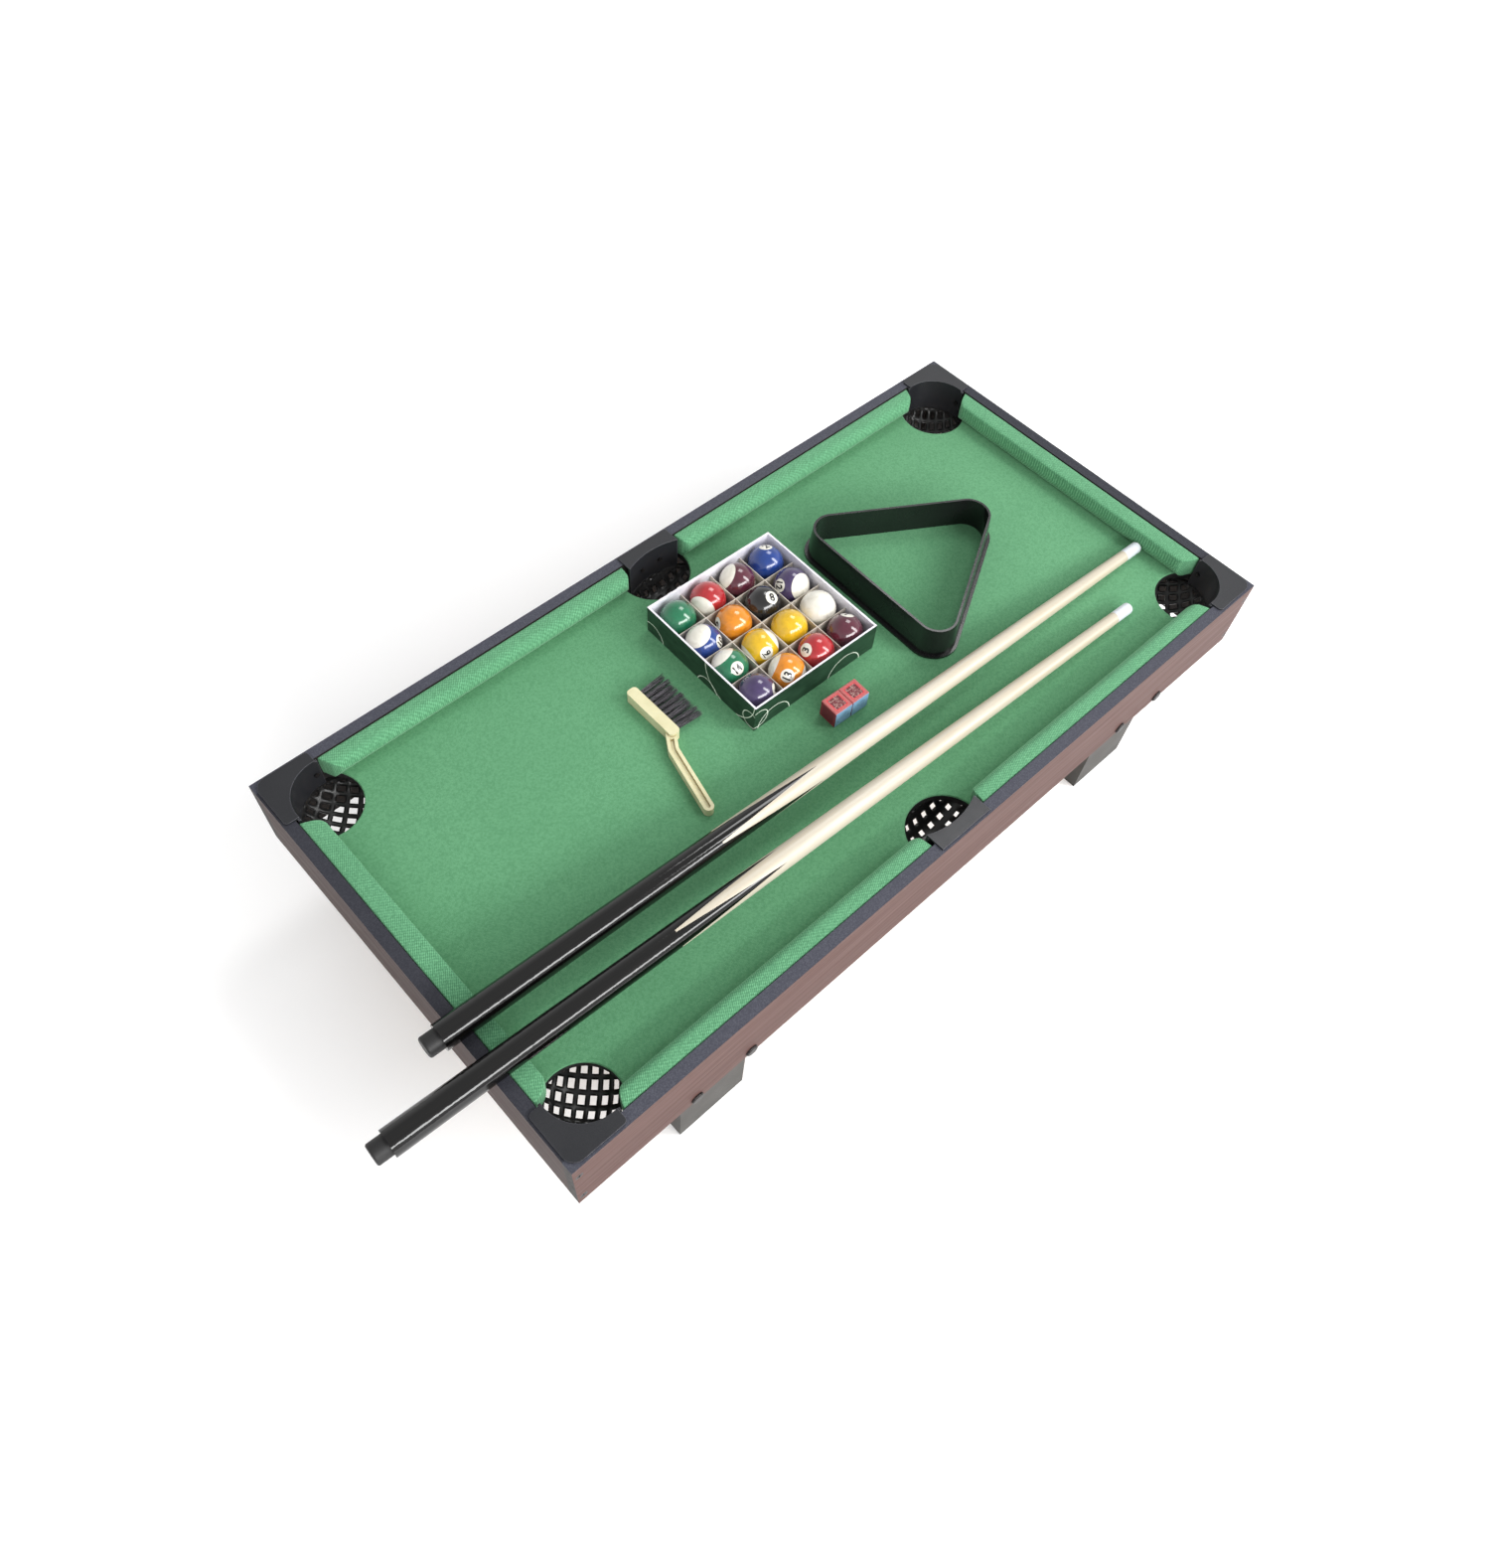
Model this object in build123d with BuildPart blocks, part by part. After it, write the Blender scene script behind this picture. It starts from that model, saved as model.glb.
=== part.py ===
"""Mini pool table with its set of balls, rack, cues, brush and chalk.

Millimetres. +Z is up, +X runs along the table, +Y across it. The origin is on the floor, under the
middle of the table.
"""
import os
from math import asin, atan2, cos, degrees, hypot, pi, radians, sin, sqrt

from build123d import *

os.makedirs("parts", exist_ok=True)

# ---- driving dimensions ----
table_length = 920
table_width = 465
rail_top = 205
panel_height = 90
panel_t = 12

bed_drop = 25  # playing surface below the rail top
cloth_t = 1
board_t = 9

leg_x = 298  # leg centre from the middle of the table
leg_width = 80
leg_t = 18
cleat = 12

cushion_depth = 20
cushion_gap = 0.5  # cushion top below the rail top

pocket_hole_r = 37
pocket_hole_inset = 43.5  # corner hole centre from each outer face
shield_r = 39
shield_inset = 55  # corner shield arc centre from each outer face
shield_t = 2.5
cap_t = 2
cap_arm = 58.5  # corner cap along each outer face
cap_edge = 2.5  # cap set in from the outer faces
cap_corner_r = 12

side_hole_r = 39.5
side_hole_inset = 21.5
side_cap_half = 32.5
side_arc_inset = 16.2
side_arc_sagitta = 6.7

basket_t = 2
basket_depth = 27

ball_d = 38
cell = 40
card_t = 0.8
tray_wall = 2
tray_height = 35
tray_centre = (24, 70.5)
tray_turn = -1.2
rest_gap = 0.3  # things lying on the cloth stand this far above it

rack_centre = (206, 31)
rack_turn = -1.3
rack_height = 36

cue_length = 914
butt_r = 12.8
ferrule_r = 6.2
cue_belly = 1

chalk_size = 22

# ---- worked-out places ----
half_l = table_length / 2
half_w = table_width / 2
in_l = half_l - panel_t
in_w = half_w - panel_t
panel_bottom = rail_top - panel_height
bed_z = rail_top - bed_drop
board_top = bed_z - cloth_t
board_bottom = board_top - board_t
shield_bottom = board_bottom - 1
side_arc_r = (side_cap_half**2 + side_arc_sagitta**2) / (2 * side_arc_sagitta)
side_arc_y = half_w - side_arc_inset - side_arc_r
corners = {"front_left": (-1, -1), "front_right": (1, -1), "back_left": (-1, 1), "back_right": (1, 1)}
lie_z = bed_z + rest_gap


def write(part, name):
    """Label one finished piece and write its STEP file."""
    part.label = name
    export_step(part, f"parts/{name}.step")


def lying_plane(centre, turn):
    """Plane just above the cloth at centre, turned about +Z by so many degrees."""
    x_dir = (cos(radians(turn)), sin(radians(turn)), 0)
    return Plane(origin=(*centre, lie_z), x_dir=x_dir, z_dir=(0, 0, 1))


# ---- fasteners: sizes and places ----
bolt_r = 3
bolt_head_r = 6.5
bolt_head_h = 2.5
bolt_head_round = 1.6
bolt_z = panel_bottom + 8
bolt_dx = 32
nut_h = 5
nut_flat_r = 5.5
bolt_points = [(side * (leg_x + dx), y) for y in (-1, 1) for side in (-1, 1) for dx in (-bolt_dx, bolt_dx)]

screw_r = 2
screw_head_r = 4
screw_head_h = 2.2
screw_length = 32
cross_l = 5
cross_w = 0.9
cross_depth = 1
screw_x = half_l - panel_t / 2
screw_levels = (rail_top - 20, rail_top - 77)
screw_points = [(sx * screw_x, y, z) for y in (-1, 1) for sx in (-1, 1) for z in screw_levels]

cap_screw_r = 1.3
cap_screw_head_r = 2.6
cap_screw_head_h = 1.4
cap_screw_length = 9
cap_screw_z = rail_top - 18
cap_screw_stand = 0.45  # underside of the head from the curved shield, at its middle
side_screw_dx = 12
shield_face = shield_inset - shield_r  # inner face of the shield from the outer face, where it is nearest


def side_shield_y(x):
    """Distance from the table's middle line to the inner face of a side shield."""
    return side_arc_y + sqrt(side_arc_r**2 - x**2)


# each cap screw: head centre on the shield's inner face, and the outward direction
cap_screws = []
for sx, sy in corners.values():
    cap_screws.append(((sx * (half_l - shield_inset), sy * (half_w - shield_face)), (0, sy)))
    cap_screws.append(((sx * (half_l - shield_face), sy * (half_w - shield_inset)), (sx, 0)))
for sy in (-1, 1):
    for x in (-side_screw_dx, side_screw_dx):
        cap_screws.append(((x, sy * side_shield_y(side_screw_dx)), (0, sy)))


def cap_screw_plane(place, out, shift=0.0):
    """Plane at a cap screw's head, facing along the screw, moved along it by shift."""
    x, y = place
    return Plane(origin=(x + out[0] * shift, y + out[1] * shift, cap_screw_z), z_dir=(out[0], out[1], 0))


# ---- panels ----
for name, sy in (("side_panel_front", -1), ("side_panel_back", 1)):
    with BuildPart() as panel:
        with BuildSketch(Plane.XY.offset(panel_bottom)):
            with Locations((0, sy * (half_w - panel_t / 2))):
                Rectangle(table_length, panel_t)
        extrude(amount=panel_height)
        outer = Plane(origin=(0, sy * half_w, 0), x_dir=(1, 0, 0), z_dir=(0, sy, 0))
        up = outer.y_dir.Z
        for x, y in bolt_points:
            if y == sy:
                with Locations(outer.location * Location((x, up * bolt_z, 0))):
                    Hole(radius=bolt_r + 0.1, depth=panel_t)
        for x, y, z in screw_points:
            if y == sy:
                with Locations(outer.location * Location((x, up * z, 0))):
                    CounterSinkHole(
                        radius=screw_r + 0.1, counter_sink_radius=screw_head_r + 0.1, depth=panel_t
                    )
        for (x, y), out in cap_screws:
            if out == (0, sy):
                face = Plane(origin=(x, sy * in_w, cap_screw_z), z_dir=(0, -sy, 0))
                with Locations(face.location):
                    Hole(radius=cap_screw_r + 0.05, depth=cap_screw_length - 1)
    write(panel.part, name)

for name, sx in (("end_panel_left", -1), ("end_panel_right", 1)):
    with BuildPart() as panel:
        with BuildSketch(Plane.XY.offset(panel_bottom)):
            with Locations((sx * (half_l - panel_t / 2), 0)):
                Rectangle(panel_t, 2 * in_w)
        extrude(amount=panel_height)
        for x, y, z in screw_points:
            if x * sx > 0:
                end = Plane(origin=(x, y * in_w, z), z_dir=(0, y, 0))
                with Locations(end.location):
                    Hole(radius=screw_r + 0.05, depth=screw_length - panel_t + 1)
        for (x, y), out in cap_screws:
            if out == (sx, 0):
                face = Plane(origin=(sx * in_l, y, cap_screw_z), z_dir=(-sx, 0, 0))
                with Locations(face.location):
                    Hole(radius=cap_screw_r + 0.05, depth=cap_screw_length - 1)
    write(panel.part, name)


# ---- bed ----
def bed_piece(base, thickness):
    """Bed outline with its six pocket cut-outs, extruded up from base."""
    with BuildPart() as piece:
        with BuildSketch(Plane.XY.offset(base)):
            Rectangle(2 * in_l, 2 * in_w)
            half_inset = pocket_hole_inset / 2
            for sx, sy in corners.values():
                with Locations((sx * (half_l - pocket_hole_inset), sy * (half_w - pocket_hole_inset))):
                    Circle(pocket_hole_r, mode=Mode.SUBTRACT)
                with Locations((sx * (half_l - half_inset), sy * (half_w - half_inset))):
                    Rectangle(pocket_hole_inset, pocket_hole_inset, mode=Mode.SUBTRACT)
            with Locations((0, half_w - side_hole_inset), (0, side_hole_inset - half_w)):
                Circle(side_hole_r, mode=Mode.SUBTRACT)
        extrude(amount=thickness)
    return piece.part


write(bed_piece(board_bottom, board_t), "bed_board")
write(bed_piece(board_top, cloth_t), "bed_cloth")

# cleats under the bed, between the legs and the pockets
cleat_inner_x = 52
cleat_outer_x = leg_x - leg_width / 2 - 8
cleat_end_half = 125
with BuildPart() as bed_cleats:
    with BuildSketch(Plane.XY.offset(board_bottom - cleat)):
        for sx, sy in corners.values():
            middle = sx * (cleat_inner_x + cleat_outer_x) / 2
            with Locations((middle, sy * (in_w - cleat / 2))):
                Rectangle(cleat_outer_x - cleat_inner_x, cleat)
        with Locations((in_l - cleat / 2, 0), (cleat / 2 - in_l, 0)):
            Rectangle(cleat, 2 * cleat_end_half)
    extrude(amount=cleat)
write(bed_cleats.part, "bed_cleats")

# ---- cushions ----
cushion_h = bed_drop - cushion_gap
foot_depth = 13
nose_low = 12.5
nose_high = 16
end_set = 62  # cushion end at the panel, from the outer corner
end_slant = 9  # how much further the end is at the nose
side_end = 35.5
side_slant = 3
nose_corner_r = 9


def cushion(length_plane, span, low_end, high_end, low_slant, high_slant):
    """Rail cushion: profile along the rail, cut to its plan outline.

    length_plane stands at the panel's inner face, x along the rail, y towards the play.
    """
    with BuildPart() as piece:
        section = Plane(origin=length_plane.origin, x_dir=length_plane.y_dir, z_dir=length_plane.x_dir)
        rise = section.y_dir.Z
        with BuildSketch(section):
            with BuildLine():
                top_inner = (cushion_depth - 5, rise * (cushion_h - 1.5))
                Polyline(
                    (cushion_depth, rise * nose_high),
                    (cushion_depth, rise * nose_low),
                    (foot_depth, 0),
                    (0, 0),
                    (0, rise * cushion_h),
                    top_inner,
                )
                ThreePointArc(
                    top_inner,
                    (cushion_depth - 1.5, rise * (cushion_h - 4.2)),
                    (cushion_depth, rise * nose_high),
                )
            make_face()
        extrude(amount=span, both=True)
        with BuildSketch(length_plane):
            with BuildLine():
                Polyline(
                    (low_end, 0),
                    (high_end, 0),
                    (high_end - high_slant, cushion_depth + 1),
                    (low_end + low_slant, cushion_depth + 1),
                    close=True,
                )
            make_face()
            fillet(vertices().group_by(Axis.Y)[-1], nose_corner_r)
        extrude(amount=2 * bed_drop, both=True, mode=Mode.INTERSECT)
    return piece.part


for side, sy in (("front", -1), ("back", 1)):
    for end, sx in (("left", -1), ("right", 1)):
        plane = Plane(origin=(0, sy * in_w, bed_z), x_dir=(sx, 0, 0), z_dir=(0, 0, -sx * sy))
        body = cushion(plane, half_l, side_end, half_l - end_set, side_slant, end_slant)
        write(body, f"cushion_{side}_{end}")
for end, sx in (("left", -1), ("right", 1)):
    plane = Plane(origin=(sx * in_l, 0, bed_z), x_dir=(0, 1, 0), z_dir=(0, 0, sx))
    body = cushion(plane, half_w, end_set - half_w, half_w - end_set, end_slant, end_slant)
    write(body, f"cushion_end_{end}")

# ---- pocket caps ----
shield_turn = radians(8)  # how far the shield goes past a quarter turn at each end
cap_end_r = 4
for name, (sx, sy) in corners.items():
    centre = (sx * (half_l - shield_inset), sy * (half_w - shield_inset))
    with BuildPart() as cap:
        with BuildSketch(Plane.XY.offset(rail_top)):
            reach = cap_arm - cap_edge
            with Locations((sx * (half_l - cap_edge - reach / 2), sy * (half_w - cap_edge - reach / 2))):
                Rectangle(reach, reach)
            outer_corners = vertices().sort_by_distance((sx * half_l, sy * half_w, 0))
            fillet(outer_corners[0], cap_corner_r)
            fillet(vertices().sort_by_distance((sx * half_l, sy * (half_w - cap_arm), 0))[0], cap_end_r)
            fillet(vertices().sort_by_distance((sx * (half_l - cap_arm), sy * half_w, 0))[0], cap_end_r)
            with Locations(centre):
                Circle(shield_r, mode=Mode.SUBTRACT)
        extrude(amount=cap_t)
        with BuildSketch(Plane.XY.offset(shield_bottom)):
            with Locations(centre):
                Circle(shield_r + shield_t)
                Circle(shield_r, mode=Mode.SUBTRACT)
            keep = shield_inset + shield_r * sin(shield_turn)
            with Locations((sx * (half_l - keep / 2), sy * (half_w - keep / 2))):
                Rectangle(keep, keep, mode=Mode.INTERSECT)
        extrude(amount=rail_top - shield_bottom)
        for (x, y), out in cap_screws:
            if hypot(x - centre[0], y - centre[1]) < shield_r + 1:
                with Locations(cap_screw_plane((x, y), out, shield_t + 0.5).location):
                    Hole(radius=cap_screw_r + 0.2, depth=shield_t + 1)
    write(cap.part, f"corner_cap_{name}")

for side, sy in (("front", -1), ("back", 1)):
    with BuildPart() as cap:
        with BuildSketch(Plane.XY.offset(rail_top)):
            depth = side_arc_inset + side_arc_sagitta + 1
            with Locations((0, sy * (half_w - cap_edge - depth / 2))):
                Rectangle(2 * side_cap_half, depth)
            with Locations((0, sy * side_arc_y)):
                Circle(side_arc_r, mode=Mode.SUBTRACT)
        extrude(amount=cap_t)
        with BuildSketch(Plane.XY.offset(shield_bottom)):
            with Locations((0, sy * side_arc_y)):
                Circle(side_arc_r + shield_t)
                Circle(side_arc_r, mode=Mode.SUBTRACT)
            with Locations((0, sy * half_w)):
                Rectangle(2 * side_cap_half, 60, mode=Mode.INTERSECT)
        extrude(amount=rail_top - shield_bottom)
        for (x, y), out in cap_screws:
            if abs(x) < side_cap_half and out == (0, sy):
                with Locations(cap_screw_plane((x, y), out, shield_t + 0.5).location):
                    Hole(radius=cap_screw_r + 0.2, depth=shield_t + 2)
    write(cap.part, f"side_cap_{side}")

# ---- mesh baskets under the holes ----
basket_lip = 2
basket_r = 40.5  # the corner basket, round and centred under the corner shield
basket_bottom_r = 48
basket_knuckle_r = 8  # between the bottom and the wall
side_basket_inset = 39
side_basket_half = (44, 24)  # the side basket is the same bowl drawn out to an oval


def bowl(half, inward):
    """Solid bowl below z = 0, its faces moved inward; half is its half length and half width."""
    r, bottom_r, knuckle_r = (v - inward for v in (basket_r, basket_bottom_r, basket_knuckle_r))
    lean = asin((r - knuckle_r) / (bottom_r - knuckle_r))
    bottom_middle = (0, basket_bottom_r - basket_depth)
    knuckle_middle = (r - knuckle_r, bottom_middle[1] - (bottom_r - knuckle_r) * cos(lean))

    def on(middle, radius, angle):
        return (middle[0] + radius * sin(angle), middle[1] - radius * cos(angle))

    with BuildPart() as body:
        with BuildSketch(Plane.XZ):
            with BuildLine():
                ThreePointArc(*(on(bottom_middle, bottom_r, a) for a in (0, lean / 2, lean)))
                ThreePointArc(*(on(knuckle_middle, knuckle_r, a) for a in (lean, (lean + pi / 2) / 2, pi / 2)))
                Polyline(
                    (r, knuckle_middle[1]),
                    (r, 0),
                    (0, 0),
                    (0, bottom_middle[1] - bottom_r),
                )
            make_face()
        revolve(axis=Axis.Z)
    if half == (basket_r, basket_r):
        return body.part
    return scale(body.part, by=((half[0] - inward) / r, (half[1] - inward) / r, 1))


def basket(half):
    """Open bowl with walls basket_t thick and a narrow lip."""
    outside, inside = bowl(half, 0), bowl(half, basket_t)
    with BuildPart() as body:
        add(outside)
        with BuildSketch():
            Ellipse(half[0] + basket_lip, half[1] + basket_lip)
        extrude(amount=-basket_lip)
        add(inside, mode=Mode.SUBTRACT)
    return body.part


corner_bowl = basket((basket_r, basket_r))
with BuildPart() as corner_baskets:
    for sx, sy in corners.values():
        with Locations((sx * (half_l - shield_inset), sy * (half_w - shield_inset), shield_bottom)):
            add(corner_bowl)
write(corner_baskets.part, "corner_baskets")

side_bowl = basket(side_basket_half)
with BuildPart() as side_baskets:
    for sy in (-1, 1):
        with Locations((0, sy * (half_w - side_basket_inset), shield_bottom)):
            add(side_bowl)
write(side_baskets.part, "side_baskets")

# ---- legs ----
for name, (sx, sy) in corners.items():
    with BuildPart() as leg:
        with BuildSketch():
            with Locations((sx * leg_x, sy * (in_w - leg_t / 2))):
                Rectangle(leg_width, leg_t)
        extrude(amount=board_bottom)
        for x, y in bolt_points:
            if y == sy and x * sx > 0:
                face = Plane(origin=(x, sy * in_w, bolt_z), z_dir=(0, sy, 0))
                with Locations(face.location):
                    Hole(radius=bolt_r + 0.1, depth=leg_t)
    write(leg.part, f"leg_{name}")

# ---- fasteners ----
from_top = (Align.CENTER, Align.CENTER, Align.MAX)
from_base = (Align.CENTER, Align.CENTER, Align.MIN)
bolt_places = [Plane(origin=(x, y * half_w, bolt_z), z_dir=(0, y, 0)) for x, y in bolt_points]
bolt_length = panel_t + leg_t + nut_h + 1.5

with BuildPart() as leg_bolts:
    with Locations(*[place.location for place in bolt_places]):
        Cylinder(bolt_r, bolt_length, align=from_top)
        Cylinder(bolt_head_r, bolt_head_h, align=from_base)
    head_y = half_w + bolt_head_h
    heads = faces().filter_by(lambda f: abs(abs(f.center().Y) - head_y) < 0.01)
    fillet(heads.edges(), bolt_head_round)
write(leg_bolts.part, "leg_bolts")

with BuildPart() as leg_nuts:
    for place in bolt_places:
        with BuildSketch(place.offset(-panel_t - leg_t)):
            RegularPolygon(nut_flat_r, 6, major_radius=False)
            Circle(bolt_r + 0.05, mode=Mode.SUBTRACT)
        extrude(amount=-nut_h)
write(leg_nuts.part, "leg_nuts")

screw_places = [Plane(origin=(x, y * half_w, z), z_dir=(0, y, 0)) for x, y, z in screw_points]
with BuildPart() as panel_screws:
    with Locations(*[place.location for place in screw_places]):
        Cone(screw_r, screw_head_r, screw_head_h, align=from_top)
        Cylinder(screw_r, screw_length, align=from_top)
        Box(cross_l, cross_w, cross_depth, align=from_top, mode=Mode.SUBTRACT)
        Box(cross_w, cross_l, cross_depth, align=from_top, mode=Mode.SUBTRACT)
write(panel_screws.part, "panel_screws")

with BuildPart() as cap_screw_group:
    for place, out in cap_screws:
        with Locations(cap_screw_plane(place, out, -cap_screw_stand).location):
            Cylinder(cap_screw_r, cap_screw_length, align=from_base)
            Cylinder(cap_screw_head_r, cap_screw_head_h, align=from_top)
write(cap_screw_group.part, "cap_screws")

# ---- ball tray, divider and balls ----
tray_floor = 1.5
divider_height = 24
tray_half = 2 * cell
slot_gap = 0.1
slot_w = card_t + slot_gap
slot_reach = 3
tray_plane = lying_plane(tray_centre, tray_turn)

with BuildPart() as ball_tray:
    with BuildSketch(tray_plane):
        Rectangle(2 * (tray_half + tray_wall), 2 * (tray_half + tray_wall))
    extrude(amount=tray_height)
    with BuildSketch(tray_plane.offset(tray_floor)):
        Rectangle(2 * tray_half, 2 * tray_half)
    extrude(amount=tray_height, mode=Mode.SUBTRACT)
write(ball_tray.part, "ball_tray")

divider_plane = tray_plane.offset(tray_floor + rest_gap)
strip_length = 2 * tray_half - 1
with BuildPart() as tray_divider:
    for k in (-1, 0, 1):
        across = divider_plane.location * Location((0, k * cell, 0))
        along = divider_plane.location * Location((k * cell, 0, 0))
        with Locations(across):
            strip = Box(strip_length, card_t, divider_height, align=from_base, mode=Mode.PRIVATE)
        with Locations(along):
            other = Box(card_t, strip_length, divider_height, align=from_base, mode=Mode.PRIVATE)
        for j in (-1, 0, 1):
            up_slot = Box(slot_w, slot_reach, divider_height, align=from_base, mode=Mode.PRIVATE)
            down_slot = Box(slot_reach, slot_w, divider_height, align=from_top, mode=Mode.PRIVATE)
            slot_foot = Pos(j * cell, k * cell, (divider_height - slot_gap) / 2)
            slot_head = Pos(k * cell, j * cell, (divider_height + slot_gap) / 2)
            strip -= divider_plane.location * slot_foot * up_slot
            other -= divider_plane.location * slot_head * down_slot
        add(strip)
        add(other)
write(tray_divider.part, "tray_divider")

# rows of the tray, from the +Y side, each from -X to +X; 0 is the cue ball
ball_rows = ((6, 11, 15, 2), (10, 5, 8, 12), (14, 9, 1, 0), (4, 13, 3, 7))
ball_z = tray_floor + rest_gap + ball_d / 2
for row, numbers in enumerate(ball_rows):
    for column, number in enumerate(numbers):
        with BuildPart() as ball:
            spot = Location(((column - 1.5) * cell, (1.5 - row) * cell, ball_z))
            with Locations(tray_plane.location * spot):
                Sphere(ball_d / 2)
        write(ball.part, f"ball_{number:02d}" if number else "cue_ball")

# ---- rack ----
rack_ring_r = 4 * ball_d / sqrt(3)  # corner ball centres from the middle
rack_inner_r = ball_d / 2 + 0.7
rack_rim_t = 2.5
rack_flare = 3.3  # how much further out the wall stands at its foot
rack_flange = 3
rack_flange_t = 2.5
rack_plane = lying_plane(rack_centre, rack_turn)


def rack_outline(plane, r):
    """Rounded triangle: the hull of three circles at the corner balls."""
    with BuildSketch(plane) as outline:
        with PolarLocations(rack_ring_r, 3):
            Circle(r)
        make_hull()
    return outline.sketch


rim_r = rack_inner_r + rack_rim_t
with BuildPart() as rack:
    flare_angle = degrees(atan2(rack_flare, rack_height))
    extrude(rack_outline(rack_plane, rim_r + rack_flare), amount=rack_height, taper=flare_angle)
    extrude(rack_outline(rack_plane, rim_r + rack_flare + rack_flange), amount=rack_flange_t)
    extrude(rack_outline(rack_plane, rack_inner_r), amount=rack_height, mode=Mode.SUBTRACT)
write(rack.part, "rack")

# ---- cues ----
bumper_l = 14
butt_l = 400
tip_l = 22
# tip x and y, and heading in degrees
cue_tips = {"cue_1": (426.5, -108.5, -1.71), "cue_2": (348.5, -156.7, -1.95)}


def cue_radius(s):
    """Radius at distance s from the bumper end."""
    belly = cue_belly * sin(pi * s / cue_length)
    return butt_r + (ferrule_r - butt_r) * s / cue_length + belly


def turned(plane, start, stop, steps=6):
    """A stretch of the cue, revolved about its line."""
    with BuildPart() as stretch:
        with BuildSketch(Plane(origin=plane.origin, x_dir=plane.z_dir, z_dir=plane.x_dir)):
            side = [start + (stop - start) * k / steps for k in range(steps + 1)]
            with BuildLine():
                Spline([(s, cue_radius(s)) for s in side])
                Polyline((stop, cue_radius(stop)), (stop, 0), (start, 0), (start, cue_radius(start)))
            make_face()
        revolve(axis=Axis(plane.origin, plane.z_dir))
    return stretch


for name, (tip_x, tip_y, heading) in cue_tips.items():
    ahead = Vector(cos(radians(heading)), sin(radians(heading)), 0)
    run = (tip_x + in_l) / ahead.X
    tip_z = lie_z + ferrule_r
    rise = rail_top + rest_gap + cue_radius(cue_length - run) - tip_z
    tilt = atan2(rise, run)
    axis = Vector(ahead.X * cos(tilt), ahead.Y * cos(tilt), -sin(tilt))
    butt_end = Vector(tip_x, tip_y, tip_z) - axis * cue_length
    line = Plane(origin=butt_end, z_dir=axis)
    with BuildPart() as bumper:
        with BuildSketch(line):
            Circle(cue_radius(0) - 3)
        extrude(amount=bumper_l)
        fillet(edges().filter_by(GeomType.CIRCLE).sort_by(Axis(line.origin, line.z_dir))[0], 2)
    write(bumper.part, f"{name}_bumper")
    write(turned(line, bumper_l, butt_l).part, f"{name}_butt")
    write(turned(line, butt_l, cue_length - tip_l).part, f"{name}_shaft")
    with BuildPart() as tip:
        with BuildSketch(line.offset(cue_length - tip_l)):
            Circle(cue_radius(cue_length - tip_l))
        extrude(amount=tip_l)
        fillet(edges().filter_by(GeomType.CIRCLE).sort_by(Axis(line.origin, line.z_dir))[-1], 3.5)
    write(tip.part, f"{name}_tip")

# ---- brush ----
head_x = (-130.5, -118.5)
head_y = (31, 100)
head_h = 13
handle_h = 10
handle_w = 10.5
handle_bend_r = 12
head_corner_r = 4
handle_line = ((-124.5, 40), (-137.5, 20), (-154.5, -49))
groove_w = 4
groove_depth = 2.5
groove_start = (-130.8, 30.3)
bristle_tip_x = -84
bristle_span = (36, 97)
bristle_z = (3, 10)
brush_base = Plane.XY.offset(lie_z)

with BuildPart() as brush_body:
    with BuildSketch(brush_base):
        with Locations((sum(head_x) / 2, sum(head_y) / 2)):
            RectangleRounded(head_x[1] - head_x[0], head_y[1] - head_y[0], head_corner_r)
    extrude(amount=head_h)
    with BuildSketch(brush_base):
        with BuildLine():
            FilletPolyline(*handle_line, radius=handle_bend_r)
        trace(line_width=handle_w)
        with Locations(handle_line[-1]):
            Circle(handle_w / 2)
    extrude(amount=handle_h)
    with BuildSketch(brush_base.offset(handle_h)):
        with BuildLine():
            FilletPolyline(groove_start, *handle_line[1:], radius=handle_bend_r)
        trace(line_width=groove_w)
        with Locations(handle_line[-1]):
            Circle(groove_w / 2)
    extrude(amount=-groove_depth, mode=Mode.SUBTRACT)
write(brush_body.part, "brush_body")

with BuildPart() as brush_bristles:
    with BuildSketch(brush_base.offset(bristle_z[0])):
        with BuildLine():
            low, high = bristle_span
            Polyline(
                (head_x[1], low),
                (bristle_tip_x, low - 2),
                (bristle_tip_x, high + 1),
                (head_x[1], high),
                close=True,
            )
        make_face()
    extrude(amount=bristle_z[1] - bristle_z[0])
write(brush_bristles.part, "brush_bristles")

# ---- chalk ----
chalk_turn = -2.5
chalk_centre = (25, -49)
chalk_gap = 0.4
dimple_r = 7
chalk_plane = lying_plane(chalk_centre, chalk_turn)
for name, k in (("chalk_1", -1), ("chalk_2", 1)):
    with BuildPart() as chalk:
        with BuildSketch(chalk_plane):
            with Locations((k * (chalk_size + chalk_gap) / 2, 0)):
                Rectangle(chalk_size, chalk_size)
        extrude(amount=chalk_size)
        fillet(edges(), 1)
        dish_r = 3 * dimple_r
        dish_y = -chalk_size / 2 - sqrt(dish_r**2 - dimple_r**2)
        dish_centre = Location((k * (chalk_size + chalk_gap) / 2, dish_y, chalk_size / 2))
        with Locations(chalk_plane.location * dish_centre):
            Sphere(dish_r, mode=Mode.SUBTRACT)
    write(chalk.part, name)
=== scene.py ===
"""Looks for the mini pool table: materials, cloth, cushions, baskets, bristles and ball numbers."""
import math
import random

import bmesh
import bpy
from mathutils import Matrix, Vector


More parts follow.
